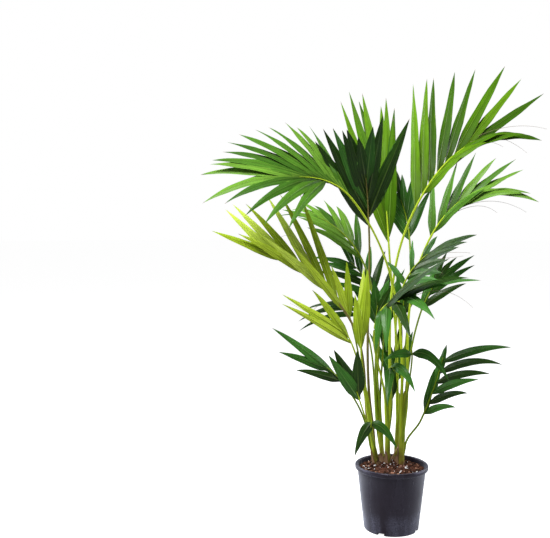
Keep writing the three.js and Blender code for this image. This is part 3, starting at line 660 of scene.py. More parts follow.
# A frond leaves its stem at the height "foot" towards the compass angle "side", passes the neck,
# where the leaflets start, and ends at the tip. "face" is the way the blade's upper side looks, as
# compass angle and height in degrees, and "show" the way each row's leaflets turn, where it differs.
# A row of leaflets is (count, angle to the rib at its first and its last, length at each), and where
# it doesn't run from neck to tip, its two ends as shares of the blade. "lift" folds both rows up,
# "spread" opens the left and the right row out in the middle, and "droop" lets them hang.
FRONDS = {
    "arch_left": dict(
        stem="e", foot=0.33, side=200, neck=(-0.113, -0.12, 0.949), tip=(-0.248, -0.2, 1.005),
        face=(-70, 45), left=(5, 50, -20, 0.165, 0.27, 0.55, 1), right=(11, 33, 16, 0.265, 0.26),
        width=0.034, droop=(0.35, 0.16), hue="mid"),
    "fan_front": dict(
        stem="a", foot=0.3, side=20, neck=(-0.068, -0.06, 0.869), tip=(-0.075, -0.13, 1.005),
        face=(-85, 15), left=(6, 27, 4, 0.3, 0.13), right=(3, 25, 4, 0.31, 0.15),
        width=0.04, droop=(0.03, 0.03), hue="deep"),
    "back_bright": dict(
        stem="d", foot=0.37, side=150, neck=(-0.013, 0.06, 0.812), tip=(-0.027, 0.11, 0.994),
        face=(-95, 15), left=(4, 16, 6, 0.442, 0.29), right=(4, 11, 3, 0.355, 0.28),
        width=0.033, droop=(0, 0), hue="bright"),
    "right_top": dict(
        stem="c", foot=0.36, side=330, neck=(0.054, 0.02, 0.911), tip=(0.264, 0.06, 1.13), arch=0.65,
        face=(-125, 32), left=(8, 31, 2, 0.395, 0.262, 0, 0.9), right=(5, 10, 16, 0.18, 0.17, 0.05, 1),
        width=0.034, lift=10, spread=(14, 0), droop=(0.03, 0.25), hue="bright"),
    "right_mid": dict(
        stem="e", foot=0.35, side=10, neck=(0.096, -0.02, 0.83), tip=(0.236, -0.02, 0.974), arch=0.6,
        face=(-125, 35), left=(6, 30, -2, 0.207, 0.153), right=(5, 10, 30, 0.232, 0.167, 0, 1),
        width=0.027, lift=8, droop=(0.05, 0.3), hue="mid"),
    "back_dark": dict(
        stem="d", foot=0.3, side=40, neck=(0.048, 0.11, 0.823), tip=(0.021, 0.19, 0.951),
        face=(-90, 50), left=(5, 26, 8, 0.2, 0.16), right=(5, 26, 8, 0.2, 0.16),
        width=0.022, droop=(0.15, 0.15), hue="deep"),
    "left_bright": dict(
        stem="a", foot=0.29, side=150, neck=(-0.122, -0.06, 0.616), tip=(-0.349, -0.12, 0.803),
        face=(-55, 45), show=((-85, 15), (-85, 15)),
        left=(4, 8, 3, 0.257, 0.202), right=(6, 25, 22, 0.342, 0.182, 0.1, 1),
        width=0.024, lift=20, droop=(0.05, 0.05), hue="lime"),
    "left_low_bright": dict(
        stem="a", foot=0.32, side=265, neck=(-0.11, -0.09, 0.542), tip=(-0.134, -0.105, 0.59),
        face=(-80, 20), left=(2, 30, 20, 0.24, 0.225), right=(1, -8, -8, 0.185, 0.185),
        width=0.022, droop=(0.06, 0.06), hue="lime"),
    "lime_upright": dict(
        stem="a", foot=0.34, side=320, neck=(-0.088, -0.052, 0.519), tip=(-0.085, -0.066, 0.582),
        face=(-90, 10), left=(2, 6, 2, 0.165, 0.235), right=(1, 3, 3, 0.225, 0.225),
        width=0.032, droop=(0.02, 0.02), hue="lime"),
    "left_back": dict(
        stem="b", foot=0.33, side=240, neck=(-0.088, 0.06, 0.768), tip=(-0.23, 0.14, 0.9),
        face=(-60, 40), left=(5, 36, 12, 0.222, 0.142), right=(6, 24, 12, 0.21, 0.15),
        width=0.025, lift=15, droop=(0.22, 0.22), hue="mid"),
    "mid_right_dark": dict(
        stem="d", foot=0.35, side=235, neck=(0.025, -0.02, 0.695), tip=(0.093, -0.09, 0.799),
        face=(-120, 35), left=(3, 72, 4, 0.105, 0.095), right=(6, 46, 8, 0.185, 0.215),
        width=0.025, lift=15, droop=(0.15, 0.15), hue="deep"),
    "front_mid": dict(
        stem="c", foot=0.34, side=200, neck=(-0.035, -0.11, 0.64), tip=(0.061, -0.15, 0.706), arch=0.35,
        face=(-100, 55), show=(None, (-90, 25)),
        left=(3, -12, 6, 0.29, 0.19), right=(4, 150, 22, 0.06, 0.13, 0, 0.8),
        width=0.028, droop=(0.22, 0.5), hue="deep"),
    "right_small": dict(
        stem="e", foot=0.3, neck=(0.054, -0.06, 0.507), tip=(0.053, -0.075, 0.532),
        face=(-90, 10), show=((-90, 30), (-90, 30)),
        left=(1, 70, 70, 0.085, 0.085), right=(1, 62, 62, 0.118, 0.118),
        width=0.028, droop=(0.6, 0.8), hue="deep"),
    "low_right": dict(
        stem="e", foot=0.23, neck=(0.083, 0.02, 0.313), tip=(0.145, 0.04, 0.495),
        face=(-120, 20), left=(3, 11, 3, 0.152, 0.064), right=(6, 34, 56, 0.1, 0.25),
        width=0.025, lift=10, droop=(0.1, 0.28), hue="deep"),
    "low_left_long": dict(
        stem="a", foot=0.235, side=180, neck=(-0.132, -0.06, 0.425), tip=(-0.2, -0.095, 0.492),
        face=(-90, 30), left=(2, 32, 6, 0.14, 0.19), right=(1, -5, -5, 0.24, 0.24),
        width=0.026, droop=(0.05, 0.05), hue="deep"),
    "low_left_fan": dict(
        stem="a", foot=0.225, side=262, neck=(-0.089, -0.07, 0.381), tip=(-0.098, -0.08, 0.412),
        face=(-90, 10), left=(2, 18, 6, 0.165, 0.165), right=(1, 14, 14, 0.16, 0.15),
        width=0.038, droop=(0.02, 0.02), hue="deep"),
    "bottom_curl": dict(
        stem="a", foot=0.2, side=320, neck=(-0.058, -0.075, 0.312), tip=(-0.055, -0.08, 0.333),
        face=(-90, 10), show=((-90, 20), (-90, 20)),
        left=(1, 134, 134, 0.062, 0.062), right=(1, 78, 78, 0.076, 0.076),
        width=0.029, droop=(1.05, 1.05), hue="deep"),
    "centre_dark": dict(
        stem="b", foot=0.3, side=30, neck=(-0.028, 0.095, 0.556), tip=(-0.033, 0.13, 0.635),
        face=(-90, 20), left=(3, 34, 10, 0.19, 0.15), right=(3, 34, 10, 0.19, 0.15),
        width=0.026, droop=(0.1, 0.1), hue="deep"),
    "centre_low": dict(
        stem="c", foot=0.26, side=290, neck=(-0.01, -0.04, 0.47), tip=(0.002, -0.06, 0.478),
        face=(-90, 60), show=((-90, 20), (-90, 20)),
        left=(1, 22, 22, 0.096, 0.096), right=(1, 36, 36, 0.11, 0.11),
        width=0.026, droop=(0.9, 0.8), hue="deep"),
    "left_back_low": dict(
        stem="b", foot=0.28, side=178, neck=(-0.09, 0.092, 0.601), tip=(-0.126, 0.13, 0.64),
        face=(-90, 40), left=(3, 60, 18, 0.18, 0.15), right=(2, 40, 18, 0.12, 0.12),
        width=0.02, droop=(0.35, 0.35), hue="deep"),
    "back_left": dict(
        stem="b", foot=0.35, side=85, neck=(-0.055, 0.125, 0.65), tip=(-0.13, 0.18, 0.76),
        face=(-90, 40), left=(4, 45, 18, 0.18, 0.15), right=(4, 35, 18, 0.18, 0.15),
        width=0.022, droop=(0.2, 0.2), hue="deep"),
    "right_back": dict(
        stem="e", foot=0.33, side=70, neck=(0.078, 0.06, 0.614), tip=(0.13, 0.1, 0.715),
        face=(-90, 40), left=(3, 8, 4, 0.18, 0.14), right=(3, 34, 14, 0.15, 0.17),
        width=0.022, droop=(0.18, 0.18), hue="deep"),
    "inner_left": dict(
        stem="b", foot=0.28, side=330, neck=(-0.048, 0.02, 0.596), tip=(-0.043, 0.03, 0.651),
        face=(-90, 10), left=(2, 25, 8, 0.1, 0.09), right=(2, 25, 8, 0.1, 0.09),
        width=0.026, droop=(0.05, 0.05), hue="deep"),
    "inner_right": dict(
        stem="c", foot=0.29, side=85, neck=(0.026, 0.03, 0.596), tip=(0.031, 0.035, 0.66),
        face=(-90, 10), left=(2, 28, 8, 0.11, 0.09), right=(2, 28, 8, 0.11, 0.09),
        width=0.024, droop=(0.05, 0.05), hue="deep"),
    "inner_low": dict(
        stem="c", foot=0.225, side=80, neck=(0, 0.05, 0.357), tip=(-0.004, 0.06, 0.405),
        face=(-90, 10), left=(2, 14, 5, 0.09, 0.09), right=(2, 14, 5, 0.09, 0.09),
        width=0.024, droop=(0.05, 0.05), hue="deep"),
    "left_bright_side": dict(
        stem="a", foot=0.345, side=118, neck=(-0.115, -0.04, 0.597), tip=(-0.129, -0.044, 0.64),
        face=(-85, 15), left=(1, -1, -1, 0.165, 0.165), right=(1, 15, 15, 0.165, 0.165),
        width=0.026, droop=(0.03, 0.03), hue="lime"),
    "inner_back": dict(
        stem="d", foot=0.24, side=100, neck=(0.014, 0.095, 0.389), tip=(0.008, 0.108, 0.453),
        face=(-90, 12), left=(2, 26, 8, 0.185, 0.165), right=(2, 26, 8, 0.175, 0.16),
        width=0.027, droop=(0.05, 0.05), hue="deep"),
}
RIB_RISE = 0.35                             # share of the reach over which a petiole stays upright
RIB_ARCH = 0.5
RIB_SEAT = 0.001
RIB_RADIUS = dict(foot=0.0026, foot_per_length=1 / 320, neck=0.0022, neck_per_length=1 / 260, tip=0.0009)
RIB_SIDES = 14
PETIOLE_RINGS, RACHIS_RINGS, BASE_RINGS = 30, 26, 12
BASE_DROP = 0.085                           # how far a petiole's base clasps down its stem
BASE_CLEAR = 0.012                          # how far above the soil it ends at least
BASE_SINK, BASE_SINK_CURVE = (0.30, 0.70), 0.7  # how deep it starts in the stem, and how it comes out
BASE_SLIM = (0.55, 0.45)                    # its radius at the lower end, and what it gains
PETIOLE_SLIM = (1.25, 0.8)                  # how soon and how a petiole slims down to its neck
CHANNEL_DEEP, CHANNEL_WIDE, CHANNEL_RUN = 0.30, 0.55, 1.6
STALK_LOOKS = {                             # green, pale fibre, brown; brown below, green above
    "lime": ((0.200, 0.280, 0.004), (0.370, 0.475, 0.030), (0.170, 0.095, 0.024), 0.18, 0.23),
    "green": ((0.070, 0.130, 0.004), (0.200, 0.270, 0.012), (0.130, 0.075, 0.022), 0.18, 0.24),
    "olive": ((0.075, 0.070, 0.012), (0.200, 0.165, 0.045), (0.090, 0.050, 0.020), 0.18, 0.34),
}
STALK_OF = {                                # the others are green
    "arch_left": "lime", "right_top": "lime", "right_mid": "lime", "back_bright": "lime",
    "left_low_bright": "lime", "lime_upright": "lime", "mid_right_dark": "lime", "front_mid": "lime",
    "low_left_fan": "lime", "left_bright": "olive", "fan_front": "olive",
}


def unit(v):
    """A vector, or each row of an array of vectors, at length 1."""
    return v / np.maximum(1e-12, np.linalg.norm(v, axis=-1, keepdims=True))


def compass(turn, height=0):
    """The unit vector towards a compass angle and a height, in degrees."""
    turn, height = math.radians(turn), math.radians(height)
    return np.array([math.cos(height) * math.cos(turn), math.cos(height) * math.sin(turn), math.sin(height)])


def rib_of(frond):
    """The curves of a frond's petiole and rachis, as control points, and its radii."""
    centre, radius = stem_axis(frond["stem"], frond["foot"])
    neck, tip = np.array(frond["neck"]), np.array(frond["tip"])
    out = compass(frond["side"]) if "side" in frond else unit((neck - centre) * (1, 1, 0))
    foot = centre + out * (radius + RIB_SEAT)
    reach, blade = np.linalg.norm(neck - foot), np.linalg.norm(tip - neck)
    base, top, _ = STEMS[frond["stem"]]
    lean = unit(np.array(top) - np.array([*base, STEM_GROUND]))
    heading = unit((neck - foot) / reach + (tip - neck) / blade)
    petiole = [foot, foot + lean * RIB_RISE * reach, neck - heading * RIB_RISE * reach, neck]
    rachis = [neck, neck + heading * blade * frond.get("arch", RIB_ARCH), tip]
    radii = [RIB_RADIUS["foot"] + (reach + blade) * RIB_RADIUS["foot_per_length"],
             RIB_RADIUS["neck"] + blade * RIB_RADIUS["neck_per_length"], RIB_RADIUS["tip"]]
    return dict(petiole=petiole, rachis=rachis, radii=radii, out=out)


def petiole_at(rib, t):
    """The point at a share of a petiole's curve."""
    a, b, c, d = rib["petiole"]
    return (1 - t) ** 3 * a + 3 * t * (1 - t) ** 2 * b + 3 * t * t * (1 - t) * c + t ** 3 * d


def rachis_at(rib, t):
    """The point at a share of a rachis."""
    a, b, c = rib["rachis"]
    return (1 - t) ** 2 * a + 2 * t * (1 - t) * b + t * t * c


def rachis_along(rib, t):
    """The direction of a rachis at a share of it."""
    a, b, c = rib["rachis"]
    return unit(2 * (1 - t) * (b - a) + 2 * t * (c - b))


def sweep(line, radii, upper, sides, channel=0.0):
    """Points and faces of a closed round bar along a line, with a channel on its upper side."""
    line, radii, upper = np.array(line), np.array(radii), np.array(upper)
    along = unit(np.gradient(line, axis=0))
    right = unit(np.cross(along, upper))
    up = np.cross(right, along)
    turns = np.arange(sides) / sides * math.tau
    channels = np.broadcast_to(channel, radii.shape)
    shape = 1 - channels[:, None] * np.exp(-((turns[None, :] - math.pi / 2) / CHANNEL_WIDE) ** 2)
    rings = line[:, None] + (radii[:, None] * shape)[..., None] * (
        np.cos(turns)[None, :, None] * right[:, None] + np.sin(turns)[None, :, None] * up[:, None])
    count, faces = len(line), []
    for ring in range(count - 1):
        for side in range(sides):
            a, b = ring * sides + side, ring * sides + (side + 1) % sides
            faces.append((a, b, b + sides, a + sides))
    faces.append(tuple(range(sides - 1, -1, -1)))
    faces.append(tuple((count - 1) * sides + side for side in range(sides)))
    return rings.reshape(-1, 3), faces


def frond_stalk(frond, rib):
    """Points and faces of a frond's base, petiole and rachis, as one bar."""
    line, radii, upper = [], [], []
    wide, slim, end = rib["radii"]
    facing, out = compass(*frond["face"]), rib["out"]
    drop = min(BASE_DROP, frond["foot"] - STEM_GROUND - BASE_CLEAR)
    for k in np.linspace(0, 1, BASE_RINGS, endpoint=False):
        centre, radius = stem_axis(frond["stem"], frond["foot"] - drop * (1 - k))
        sunk = BASE_SINK[0] + BASE_SINK[1] * k ** BASE_SINK_CURVE
        line.append(centre + out * (radius + RIB_SEAT) * sunk)
        radii.append(wide * (BASE_SLIM[0] + BASE_SLIM[1] * k))
        upper.append(-out)
    for k in np.linspace(0, 1, PETIOLE_RINGS, endpoint=False):
        line.append(petiole_at(rib, k))
        radii.append(wide + (slim - wide) * min(1, k * PETIOLE_SLIM[0]) ** PETIOLE_SLIM[1])
        upper.append(unit(-out * (1 - k) + facing * k))
    for k in np.linspace(0, 1, RACHIS_RINGS):
        line.append(rachis_at(rib, k))
        radii.append(slim + (end - slim) * k)
        upper.append(facing)
    run = np.minimum(1, np.linspace(0, 1, len(line)) * CHANNEL_RUN)
    return sweep(line, radii, upper, RIB_SIDES, CHANNEL_DEEP * np.sin(np.pi * run) ** 2)


def join_bars(bars):
    """Many bars' points and faces as one."""
    points, faces, start = [], [], 0
    for bar_points, bar_faces in bars:
        points.append(bar_points)
        faces += [tuple(corner + start for corner in face) for face in bar_faces]
        start += len(bar_points)
    return np.concatenate(points), faces


def stalk_piece(name, bar, skin):
    """A stalk's object, which rides and is finished as a stem is."""
    stalk = join_arrays(name, *bar, [skin])
    shade(stalk, crease=60)
    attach(stalk, "root")


ribs = {name: rib_of(frond) for name, frond in FRONDS.items()}
for look, colours in STALK_LOOKS.items():
    bars = [frond_stalk(frond, ribs[name]) for name, frond in FRONDS.items()
            if STALK_OF.get(name, "green") == look]
    stalk_piece("stalks_" + look, join_bars(bars), stalk_material("stalk_" + look, *colours))

# ---------------------------------------------------------------- dry threads and a dead stalk
# Fine dry threads, the shrivelled ends and edges of old leaflets, hang out of several fronds in thin
# brown arcs. One short dead stalk, light brown, leans between the stems just above the soil.
THREADS = {                                 # frond: start, middle and end of each thread
    "right_top": (((0.236, 0.060, 1.130), (0.335, 0.060, 1.174), (0.426, 0.060, 1.147)),
                  ((0.225, 0.060, 1.122), (0.297, 0.060, 1.146), (0.372, 0.060, 1.081)),
                  ((0.213, 0.055, 1.113), (0.263, 0.050, 1.123), (0.305, 0.050, 1.098))),
    "right_mid": (((0.161, -0.020, 0.914), (0.268, -0.020, 0.974), (0.361, -0.020, 0.913)),
                  ((0.176, -0.030, 0.916), (0.241, -0.030, 0.947), (0.282, -0.030, 0.911))),
    "front_mid": (((0.058, -0.150, 0.690), (0.139, -0.150, 0.730), (0.210, -0.150, 0.660)),),
    "mid_right_dark": (((0.093, -0.080, 0.784), (0.154, -0.060, 0.787), (0.191, -0.060, 0.793)),
                       ((0.086, -0.080, 0.795), (0.171, -0.060, 0.807), (0.210, -0.060, 0.801))),
    "left_low_bright": (((-0.117, -0.092, 0.564), (-0.187, -0.095, 0.608), (-0.285, -0.095, 0.660)),
                        ((-0.206, -0.098, 0.653), (-0.228, -0.098, 0.641), (-0.228, -0.098, 0.597))),
    "left_bright": (((-0.208, -0.090, 0.721), (-0.257, -0.095, 0.875), (-0.310, -0.095, 0.844)),),
}
THREAD_RADIUS = (0.0007, 0.0003)
THREAD_RINGS, THREAD_SIDES = 16, 6
THREAD_BROWN = (0.150, 0.110, 0.070)
DEAD_STALK = ((-0.007, 0.043, 0.174), (0.004, 0.028, 0.206), (0.018, 0.010, 0.234))
DEAD_RADIUS = (0.0022, 0.0014)
DEAD_SIDES = 10
DEAD_BROWN = (0.330, 0.215, 0.120)
DRY_PALE, DRY_DARK, DRY_DULL = 1.4, 0.5, 0.7    # brightness of the fibres and of the foot
DRY_DARK_TO, DRY_PALE_FROM = 0.16, 0.19
UP = np.array([0.0, 0.0, 1.0])


def curved(start, middle, end):
    """Points along the arc from one point to another that a third one pulls out."""
    share = np.linspace(0, 1, THREAD_RINGS)[:, None]
    pulled = 2 * share * (1 - share) * np.array(middle)
    return (1 - share) ** 2 * np.array(start) + pulled + share ** 2 * np.array(end)


def dry_material(name, brown):
    """Dead fibre: pale strands, darker near the soil."""
    pale, dark = [tuple(share * c for c in brown) for share in (DRY_PALE, DRY_DARK)]
    return stalk_material(name, brown, pale, dark, DRY_DARK_TO, DRY_PALE_FROM, DRY_DULL)


threads = [sweep(curved(*bend), np.linspace(*THREAD_RADIUS, THREAD_RINGS), [UP] * THREAD_RINGS, THREAD_SIDES)
           for bends in THREADS.values() for bend in bends]
stalk_piece("dry_threads", join_bars(threads), dry_material("dry_threads", THREAD_BROWN))
dead = sweep(curved(*DEAD_STALK), np.linspace(*DEAD_RADIUS, THREAD_RINGS), [compass(-90)] * THREAD_RINGS,
             DEAD_SIDES, CHANNEL_DEEP)
stalk_piece("dead_stalk", dead, dry_material("dead_stalk", DEAD_BROWN))

# ---------------------------------------------------------------- the leaflets
# Long blades in two rows along each rachis, folded down along a pale midrib at their root, flatter
# and a little twisted further out, with fine veins and pleats. Each is a thin closed sheet, and its
# shade is dealt out leaflet by leaflet. Their colour also carries painted shade towards the root and
# painted light and shade on the flanks of the pleats. They grow by the same rule as the solids.
BLADE_ALONG = np.array([0, 0.03, 0.07, 0.12, 0.18, 0.25, 0.32, 0.40, 0.48, 0.56,
                        0.64, 0.72, 0.79, 0.85, 0.90, 0.94, 0.975, 1])
BLADE_ACROSS = np.array([-1, -0.62, -0.28, -0.05, 0, 0.05, 0.28, 0.62, 1])
BLADE_THICK, BLADE_THINS = 0.0004, 0.7      # half the thickness, and the share of it lost at the tip
BLADE_ROOT, BLADE_SHOULDER, BLADE_BELLY, BLADE_TAPER = 0.22, 0.24, 1.38, 0.64
BLADE_SLIM = (0.60, 8)                      # how much the end slims down further, and how late
BLADE_BOW = 0.035                           # most a blade bends aside, as a share of its length
MIDRIB_TALL = 0.0007
FOLD_ROOT, FOLD_OUT = 0.75, 0.20            # slope of each half below the midrib
FOLD_RUN, FOLD_CURVE = 0.16, 0.85
TWIST, TWIST_FROM = 22, 0.15                # degrees, from root to tip, either way
WAVE_TALL, WAVE_COUNT = 0.0011, 2.3
WAVE_WIDTH = 0.008                          # narrower half blades wave less
TIP_DROOP, TIP_DROOP_MEAN = 0.020, 0.6      # extra droop of the last third, as a share of the length
DRY_TIP = 0.975                             # beyond this the blade is dry and brown on some leaflets
DRY_CHANCE = 0.65
VARY = dict(angle=2.5, length=0.05, width=0.1, droop=0.3)
ROW_SWELL, ROW_REACH, ROW_STAGGER = 0.4, 0.98, 0.15
WIDTH_OF_LENGTH = (0.8, 0.2)                # share of the width that is fixed, and that goes with the length
SEED_STRIDE, SEED_START, SEED_GROWTH, SEED_PRIME = 7919, 104729, 48271, 2147483647
QUIRK_SEED = 1000
LEAF_HUES = {                               # three shades of the upper side, the underside, the gloss
    "deep": ((0.004, 0.026, 0.002), (0.009, 0.054, 0.005), (0.024, 0.104, 0.012),
             (0.026, 0.085, 0.012), 0.30),
    "mid": ((0.018, 0.068, 0.005), (0.035, 0.108, 0.008), (0.074, 0.172, 0.016),
            (0.055, 0.135, 0.012), 0.34),
    "bright": ((0.016, 0.058, 0.001), (0.030, 0.090, 0.001), (0.052, 0.128, 0.002),
               (0.048, 0.095, 0.004), 0.36),
    "lime": ((0.225, 0.320, 0.014), (0.330, 0.440, 0.030), (0.400, 0.520, 0.060),
             (0.245, 0.315, 0.018), 0.40),
}
LEAF_SHEEN = {"deep": 0.09, "mid": 0.07, "bright": 0.03, "lime": 0.05}
UNDER_DULL = 0.18                           # how much duller the underside is
DRY_BROWN, DRY_ROUGH = (0.120, 0.082, 0.050), 0.7
VEIN_COUNT, VEIN_WEIGHT = 15, 0.16          # evenly spaced veins, and their strength among the streaks
VEIN_PALE, VEIN_YELLOW = 0.14, (0.45, 0.55, 0.12)   # how far a vein's colour goes towards the yellow
VEIN_EDGES, VEIN_MOST = (0.38, 0.85), 0.55
VEIN_RELIEF = (0.35, 0.0003)                # strength and depth
STREAKS_ACROSS, STREAKS_ALONG, STREAK_GRAIN = 34, 1.2, (1, 2)
MIDRIB_EDGES, MIDRIB_PALE, MIDRIB_FADE = (0.055, 0.015), 0.75, 0.6
PLEAT_EDGES = (0.32, 0.68)
PLEAT_PAINTED_SHADE, PLEAT_PAINTED_HIGHLIGHT = 0.46, 1.75         # painted shade and painted highlight on the pleats' two flanks: the brightness of each
PAINTED_SHADE_RUN = (0.02, 0.45)
ROOT_PAINTED_SHADE, OUTER_PAINTED_LIGHT = 0.50, 1.08          # painted shade at the root, deep in the frond, and painted light beyond: the brightness of each
MOTTLE, MOTTLE_LEAST, MOTTLE_GAIN, MOTTLE_GLOSS = (22, 3), 0.65, 0.7, 0.16


def seeded(seed):
    """The plant's own row of numbers from -1 to 1, of which the first three are left out."""
    state = (seed * SEED_STRIDE + SEED_START) % SEED_PRIME
    for skipped in range(3):
        state = state * SEED_GROWTH % SEED_PRIME
    while True:
        state = state * SEED_GROWTH % SEED_PRIME
        yield state / SEED_PRIME * 2 - 1


def leaflets_of(name, index):
    """The leaflets of a frond: root, direction, the way its face looks, length, width and droop."""
    frond, rib, numbers = FRONDS[name], ribs[name], seeded(index + 1)
    facing, lift = compass(*frond["face"]), math.radians(frond.get("lift", 0))
    found = []
    for side, row in ((-1, frond["left"]), (1, frond["right"])):
        sag, look = frond["droop"][side > 0], frond.get("show", (None, None))[side > 0]
        spread = frond.get("spread", (0, 0))[side > 0]
        count, angle_neck, angle_tip, long_neck, long_tip = row[:5]
        start, end = row[5:] or (0, 1)
        for i in range(count):
            u = (i + 0.5 + ROW_STAGGER * side) / count if count > 1 else 0.5
            seat = (start + (end - start) * u) * ROW_REACH
            along = rachis_along(rib, seat)
            up = unit(facing - along * (facing @ along))
            right = np.cross(along, up)
            angle = math.radians(angle_neck + (angle_tip - angle_neck) * u + spread * 4 * u * (1 - u)
                                 + VARY["angle"] * next(numbers))
            swell = ROW_SWELL * u * (1 - u) * long_neck if count > 2 else 0
            length = (long_neck + (long_tip - long_neck) * u + swell) * (1 + VARY["length"] * next(numbers))
            share = WIDTH_OF_LENGTH[0] + WIDTH_OF_LENGTH[1] * length / max(long_neck, long_tip)
            width = frond["width"] * (1 + VARY["width"] * next(numbers)) * share
            droop = sag * (1 + VARY["droop"] * next(numbers))
            heading = unit(math.cos(angle) * along + side * math.sin(angle) * math.cos(lift) * right
                           + math.sin(angle) * math.sin(lift) * up)
            face = compass(*look) if look else up
            found.append(dict(root=rachis_at(rib, seat), heading=heading, face=face,
                              length=length, width=width, droop=droop))
    return found


def blade(leaf, quirks):
    """Points of one leaflet, ring by ring: over the upper side from edge to edge, and back below."""
    s, c = BLADE_ALONG, BLADE_ACROSS
    twist, phase, bow, dip = quirks
    aside = unit(np.cross(leaf["heading"], UP))
    hang = leaf["droop"] * s ** 2 + TIP_DROOP * (TIP_DROOP_MEAN + dip) * s ** 5
    centre = leaf["root"] + leaf["length"] * (
        s[:, None] * leaf["heading"] - hang[:, None] * UP + (BLADE_BOW * bow * s ** 2)[:, None] * aside)
    along = unit(np.gradient(centre, s, axis=0))
    across = unit(np.cross(leaf["face"], along))
    up = np.cross(along, across)
    turn = np.radians(TWIST * twist) * (s - TWIST_FROM)[:, None]
    across, up = across * np.cos(turn) + up * np.sin(turn), up * np.cos(turn) - across * np.sin(turn)
    rise = np.sin(np.pi / 2 * np.minimum(1, s / BLADE_SHOULDER))
    half = leaf["width"] / 2 * np.where(s < BLADE_SHOULDER, BLADE_ROOT + (1 - BLADE_ROOT) * rise,
                                        np.minimum(1, BLADE_BELLY * (1 - s) ** BLADE_TAPER))
    half = half * (1 - BLADE_SLIM[0] * s ** BLADE_SLIM[1])
    fold = FOLD_OUT + (FOLD_ROOT - FOLD_OUT) * np.exp(-(s / FOLD_RUN) ** 2)
    sag = -half[:, None] * (fold[:, None] * np.abs(c) ** FOLD_CURVE)
    wave = WAVE_TALL * np.sin(math.tau * WAVE_COUNT * s + phase * math.pi)[:, None] * c * np.abs(c)
    ridge = MIDRIB_TALL * (c == 0) * (1 - s)[:, None]
    level = sag + wave * np.minimum(1, half / WAVE_WIDTH)[:, None] + ridge
    thick = BLADE_THICK * (np.abs(c) < 1) * (1 - BLADE_THINS * s)[:, None]
    flat = centre[:, None] + half[:, None, None] * c[None, :, None] * across[:, None]
    above = flat + (level + thick)[..., None] * up[:, None]
    below = flat + (level - thick - ridge)[..., None] * up[:, None]
    return np.concatenate([above, below[:, -2:0:-1]], axis=1)


def leaf_group():
    """Shader group: a blade's veins, midrib, mottling, painted pleat light and painted root shade, as
    colour, roughness and normal.
    """
    group, given, made = shader_group(
        "leaf_veins", {"Colour": "Color", "Vein": "Color", "Gloss": "Float", "Count": "Float"},
        {"Colour": "Color", "Roughness": "Float", "Normal": "Vector"})

    def times(one, other):
        return maths(group, "MULTIPLY", one, other)

    def plus(one, other):
        return maths(group, "ADD", one, other)

    chart = add_node(group, "UVMap", uv_map="blade").outputs[0]
    split = add_node(group, "SeparateXYZ", {"Vector": chart})
    across, along = split.outputs["X"], split.outputs["Y"]
    waves = maths(group, "SINE", times(across, times(given.outputs["Count"], math.tau)))
    drawn_out = {"X": times(across, STREAKS_ACROSS), "Y": times(along, STREAKS_ALONG)}
    streaks = clouds(group, add_node(group, "CombineXYZ", drawn_out).outputs[0], *STREAK_GRAIN)
    fine = plus(times(waves, VEIN_WEIGHT), streaks)
    off_middle = maths(group, "ABSOLUTE", maths(group, "SUBTRACT", across, 0.5))
    middle = ranged(group, off_middle, *MIDRIB_EDGES, interpolation_type="SMOOTHSTEP")
    midrib = times(middle, maths(group, "SUBTRACT", MIDRIB_PALE, times(along, MIDRIB_FADE)))
    vein = maths(group, "MAXIMUM", ranged(group, fine, *VEIN_EDGES, 0, VEIN_MOST), midrib)
    cloud = clouds(group, add_node(group, "TexCoord").outputs["Object"], *MOTTLE)
    # painted light and shade: the streaks darken one flank of each pleat and lighten the other
    painted_pleat_light = ranged(group, streaks, *PLEAT_EDGES, PLEAT_PAINTED_SHADE, PLEAT_PAINTED_HIGHLIGHT)
    # painted shade: each blade is darker towards its root, deep in the frond, and a little lighter further
    # out
    depth = ranged(group, along, *PAINTED_SHADE_RUN, ROOT_PAINTED_SHADE, OUTER_PAINTED_LIGHT)
    # the mottling is the leaf's own tone; the pleat and root factors are painted light and shade
    bright = times(plus(times(cloud, MOTTLE_GAIN), MOTTLE_LEAST), times(painted_pleat_light, depth))
    tone = add_node(group, "HueSaturation", {"Color": given.outputs["Colour"], "Value": bright})
    feed(group, made, {
        "Colour": mixed(group, vein, tone.outputs[0], given.outputs["Vein"]),
        "Roughness": plus(given.outputs["Gloss"], times(cloud, MOTTLE_GLOSS)),
        "Normal": relief(group, plus(fine, midrib), *VEIN_RELIEF),
    })
    return group


leaf_veins = leaf_group()


def leaf_material(name, colour, gloss, sheen):
    """One shade of leaf, with paler, yellower veins."""
    material, tree, shader = plain_material(name, colour, gloss)
    vein = tuple(c + (target - c) * VEIN_PALE for c, target in zip(colour, VEIN_YELLOW))
    veins = add_node(tree, "Group", {"Colour": colour, "Vein": vein, "Gloss": gloss - MOTTLE_GLOSS / 2,
                                     "Count": VEIN_COUNT}, node_tree=leaf_veins)
    feed(tree, shader, {
        "Base Color": veins.outputs["Colour"],
        "Roughness": veins.outputs["Roughness"],
        "Normal": veins.outputs["Normal"],
        "Specular IOR Level": sheen,
    })
    return material


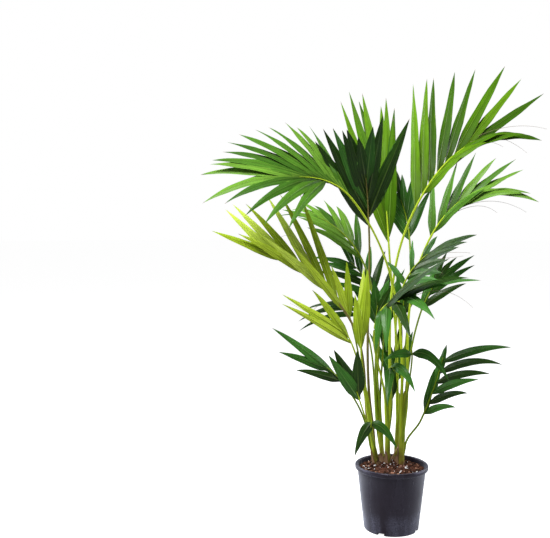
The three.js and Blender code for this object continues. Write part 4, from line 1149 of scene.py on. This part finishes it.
dry_skin = plain_material("dry_tip", DRY_BROWN, DRY_ROUGH)[0]
ring_size = 2 * len(BLADE_ACROSS) - 2
top_quads = len(BLADE_ACROSS) - 1
blade_faces, blade_zones = [tuple(range(ring_size))], ["below"]
for ring in range(len(BLADE_ALONG) - 1):
    for j in range(ring_size):
        a, b = ring * ring_size + j, ring * ring_size + (j + 1) % ring_size
        blade_faces.append((a, a + ring_size, b + ring_size, b))
        dry = BLADE_ALONG[ring] >= DRY_TIP
        blade_zones.append("dry" if dry else "above" if j < top_quads else "below")
blade_faces.append(tuple((len(BLADE_ALONG) - 1) * ring_size + j for j in range(ring_size - 1, -1, -1)))
blade_zones.append("dry")
ring_across = np.concatenate([BLADE_ACROSS, BLADE_ACROSS[-2:0:-1]]) / 2 + 0.5
blade_uv = np.stack(np.meshgrid(ring_across, BLADE_ALONG), axis=-1).reshape(-1, 2)

leaf_piles = {hue: dict(points=[], faces=[], slots=[], nodes=[]) for hue in LEAF_HUES}
for index, (name, frond) in enumerate(FRONDS.items()):
    pile = leaf_piles[frond["hue"]]
    pile["nodes"].append("frond_" + name)
    quirk = np.random.default_rng(QUIRK_SEED + index)
    for leaf in leaflets_of(name, index):
        quirks = quirk.uniform(-1, 1, 4)
        shade_number, dry_end = int(quirk.integers(3)), quirk.random() < DRY_CHANCE
        start = len(pile["points"]) * len(blade_uv)
        pile["points"].append(blade(leaf, quirks).reshape(-1, 3))
        pile["faces"] += [tuple(corner + start for corner in face) for face in blade_faces]
        slots = {"above": shade_number, "below": 3, "dry": 4 if dry_end else shade_number}
        pile["slots"] += [slots[zone] for zone in blade_zones]
for hue, pile in leaf_piles.items():
    *shades, under, gloss = LEAF_HUES[hue]
    sheen = LEAF_SHEEN[hue]
    skins = [leaf_material(f"leaf_{hue}_{n}", colour, gloss, sheen) for n, colour in enumerate(shades)]
    skins.append(leaf_material(f"leaf_{hue}_under", under, gloss + UNDER_DULL, sheen))
    uvs = np.tile(blade_uv, (len(pile["points"]), 1))
    leaves = join_arrays("leaflets_" + hue, np.concatenate(pile["points"]), pile["faces"],
                         skins + [dry_skin], pile["slots"], uvs)
    shade(leaves, crease=60)
    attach(leaves, "root")
    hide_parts(*pile["nodes"])
